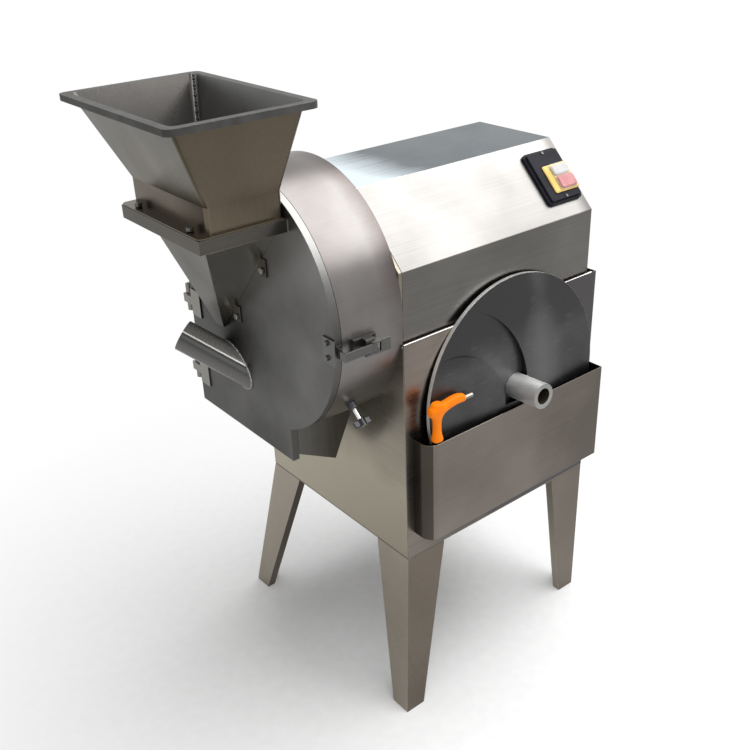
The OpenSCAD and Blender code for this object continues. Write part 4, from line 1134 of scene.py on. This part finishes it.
@dataclass
class SwitchGear:
    """Switch box on the sloping panel with its lifting flap; slabs are measured on the panel."""

    place: Triple = (405.0, 0.0, 960.0)
    slope: float = 45.466
    up: float = 30.0
    edge: float = 0.9
    screw_edge: float = 0.3
    case: Slab = Slab("switch_case", (0, 0, 0), (95, 118, 6), corner=9.0, step=5.0, rise=6.0)
    lid: Slab = Slab("switch_lid", (24, 19, 12.3), (93, 80, 14.4), corner=4.0, step=2.0, rise=1.0)
    stop: Slab = Slab("stop_pad_red", (42, 24, 17.7), (87, 51, 19.7), corner=4.5, step=2.0, rise=1.0)
    start: Slab = Slab("start_pad_pale", (42, 54, 15.4), (87, 75, 18.4), corner=4.5, step=2.0, rise=1.0)
    window: Slab = Slab("switch_window", (37, 20, 15.4), (94, 79, 20.4), corner=5.0, step=3.0, rise=3.0)

    def build(self) -> None:
        """Makes the switch box, its yellow flap, the red stop pad, the pale start pad and the clear cover."""
        self.mould(self.case, Shop.black, "cabinet", ["switch_box"])
        Carried.soft("switch_screws", Shop.plate, self.screw_edge)
        self.mould(self.lid, Shop.yellow, "switch_flap", ["switch_flap"])
        self.mould(self.stop, Shop.red, "stop_pad", ["stop_pad"])
        self.mould(self.start, Shop.pale, "switch_flap")
        self.mould(self.window, Shop.clear, "switch_flap")

    def frame(self) -> Matrix:
        """Frame of the sloping panel: X across, Y up the slope, Z away from it."""
        tilt = Matrix.Rotation(math.radians(self.slope), 4, "X")
        return Matrix.Translation(Datum.at(*self.place)) @ tilt @ Matrix.Translation(Vector((0, self.up, 0)) * MM)

    def mould(self, slab: Slab, finish: Finish, body: str, replaces: Sequence[str] = ()) -> None:
        """Moulds one slab and sets it on the panel.

        Args:
            slab: Its sizes.
            finish: Its finish.
            body: Body that carries it.
            replaces: Solids that it stands for.
        """
        piece = Bench.block(slab.name, Vector(slab.low) * MM, Vector(slab.high) * MM)
        Bench.edit(piece, Pick.EDGE, lambda place, way: abs(way.z) > 0.9)
        bpy.ops.mesh.bevel(offset=slab.corner * MM, segments=5, affect="EDGES")
        Bench.clear()
        Bench.edit(piece, Pick.FACE, faces_towards(UP, 0.9))
        bpy.ops.mesh.inset(thickness=slab.step * MM, depth=0.0)
        bpy.ops.mesh.extrude_region_move(TRANSFORM_OT_translate={"value": (0, 0, slab.rise * MM)})
        Bench.clear()
        Bench.soften(piece, self.edge, 3)
        piece.matrix_world = self.frame()
        Bench.apply_place(piece)
        Bench.done(piece, finish, body, replaces)


@dataclass(frozen=True)
class Softbox:
    """A rectangular lamp, placed in metres of the shared frame."""

    name: str
    place: Triple
    aim: Triple
    size: tuple[float, float]
    watts: float

    def hang(self) -> None:
        """Hangs the lamp, facing its aim."""
        light = bpy.data.lights.new(self.name, "AREA")
        light.shape = "RECTANGLE"
        light.size, light.size_y = self.size
        light.energy = self.watts
        lamp = bpy.data.objects.new(self.name, light)
        lamp.location = self.place
        lamp.rotation_mode = "QUATERNION"
        lamp.rotation_quaternion = (Vector(self.aim) - Vector(self.place)).to_track_quat("-Z", "Y")
        bpy.context.scene.collection.objects.link(lamp)


@dataclass
class Studio:
    """Floor, light and camera; the floor's sizes are metres."""

    focal_px: float = 956.28
    image_px: float = 750.0
    sensor: float = 36.0
    azimuth: float = -38.003
    elevation: float = 27.673
    roll: float = -2.1445
    eye: Triple = (-984.0, -1183.07, 1572.47)
    floor_size: float = 16.0
    shaded: tuple[float, float] = (0.2, 1.3)
    fill: float = 0.42
    lamps: tuple[Softbox, ...] = (
        Softbox("overhead_softbox", (1.0, -0.5, 2.75), (0.25, -0.1, 0.7), (3.0, 2.4), 95.0),
        Softbox("front_softbox", (-2.2, -2.6, 1.9), (0.0, 0.0, 0.7), (1.8, 1.8), 26.0),
    )

    def build(self) -> None:
        """Sets up floor, world, lamps and camera."""
        self.floor()
        self.world()
        for lamp in self.lamps:
            lamp.hang()
        self.camera()

    def floor(self) -> None:
        """Pale floor: shaded near the machine, white further out."""
        Bench.clear()
        bpy.ops.mesh.primitive_plane_add(size=self.floor_size)
        ground = bpy.context.object
        ground.name = "studio_floor"
        made = bpy.data.materials.new("pale_floor")
        made.use_nodes = True
        sheet = NodeSheet(made.node_tree)
        grain = sheet.noise(scale=40.0, detail=3.0)
        near = sheet.node("ShaderNodeBsdfPrincipled", None, {
            "Base Color": sheet.ramp(grain, (0.3, (0.86, 0.86, 0.86)), (0.7, (0.9, 0.9, 0.9))), "Roughness": 0.85})
        far = sheet.node("ShaderNodeEmission", None, {"Color": WHITE, "Strength": 1.0})
        reach = sheet.grey(sheet.vector("LENGTH", sheet.spot(), out="Value"), *self.shaded)
        shader = sheet.node("ShaderNodeMixShader", None, {0: reach * self.seen(sheet), 1: near, 2: far})
        sheet.close("ShaderNodeOutputMaterial", shader)
        ground.data.materials.append(made)

    @staticmethod
    def seen(sheet: NodeSheet) -> Sock:
        """1 for rays that show the background, in the open or in metal and glass."""
        rays = [sheet.node("ShaderNodeLightPath", out=ray) for ray in
                ("Is Camera Ray", "Is Glossy Ray", "Is Transmission Ray")]
        return rays[0].top(rays[1]).top(rays[2])

    def world(self) -> None:
        """White surroundings, softer where they only light the machine."""
        scene = bpy.context.scene
        scene.world = bpy.data.worlds.new("studio_world")
        scene.world.use_nodes = True
        sheet = NodeSheet(scene.world.node_tree)
        strength = self.fill + self.seen(sheet) * (1.0 - self.fill)
        back = sheet.node("ShaderNodeBackground", None, {"Color": WHITE, "Strength": strength})
        sheet.close("ShaderNodeOutputWorld", back)
        scene.view_settings.view_transform = "Standard"

    def camera(self) -> None:
        """Stands the camera where the photograph was taken."""
        az, el, roll = (math.radians(a) for a in (self.azimuth, self.elevation, self.roll))
        back = Vector((math.sin(az) * math.cos(el), -math.cos(az) * math.cos(el), math.sin(el)))
        level = Vector((math.cos(az), math.sin(az), 0.0))
        rise = back.cross(level)
        right = level * math.cos(roll) + rise * math.sin(roll)
        up = rise * math.cos(roll) - level * math.sin(roll)
        data = bpy.data.cameras.new("photo_camera")
        data.sensor_width = self.sensor
        data.lens = data.sensor_width * self.focal_px / self.image_px
        camera = bpy.data.objects.new("photo_camera", data)
        turn = Matrix((right, up, back)).transposed().to_4x4()
        camera.matrix_world = Matrix.Translation(Datum.at(*self.eye)) @ turn
        bpy.context.scene.collection.objects.link(camera)
        bpy.context.scene.camera = camera


def main() -> None:
    """Builds the machine, piece by piece."""
    logging.basicConfig(level=logging.INFO, format="%(name)s: %(message)s")
    Carried.dress_all()
    for part in (Cabinet(), Drum(), FeedSide(), Store(), SwitchGear(), Studio()):
        log.info("building %s", type(part).__name__)
        part.build()


if __name__ == "__main__":
    main()
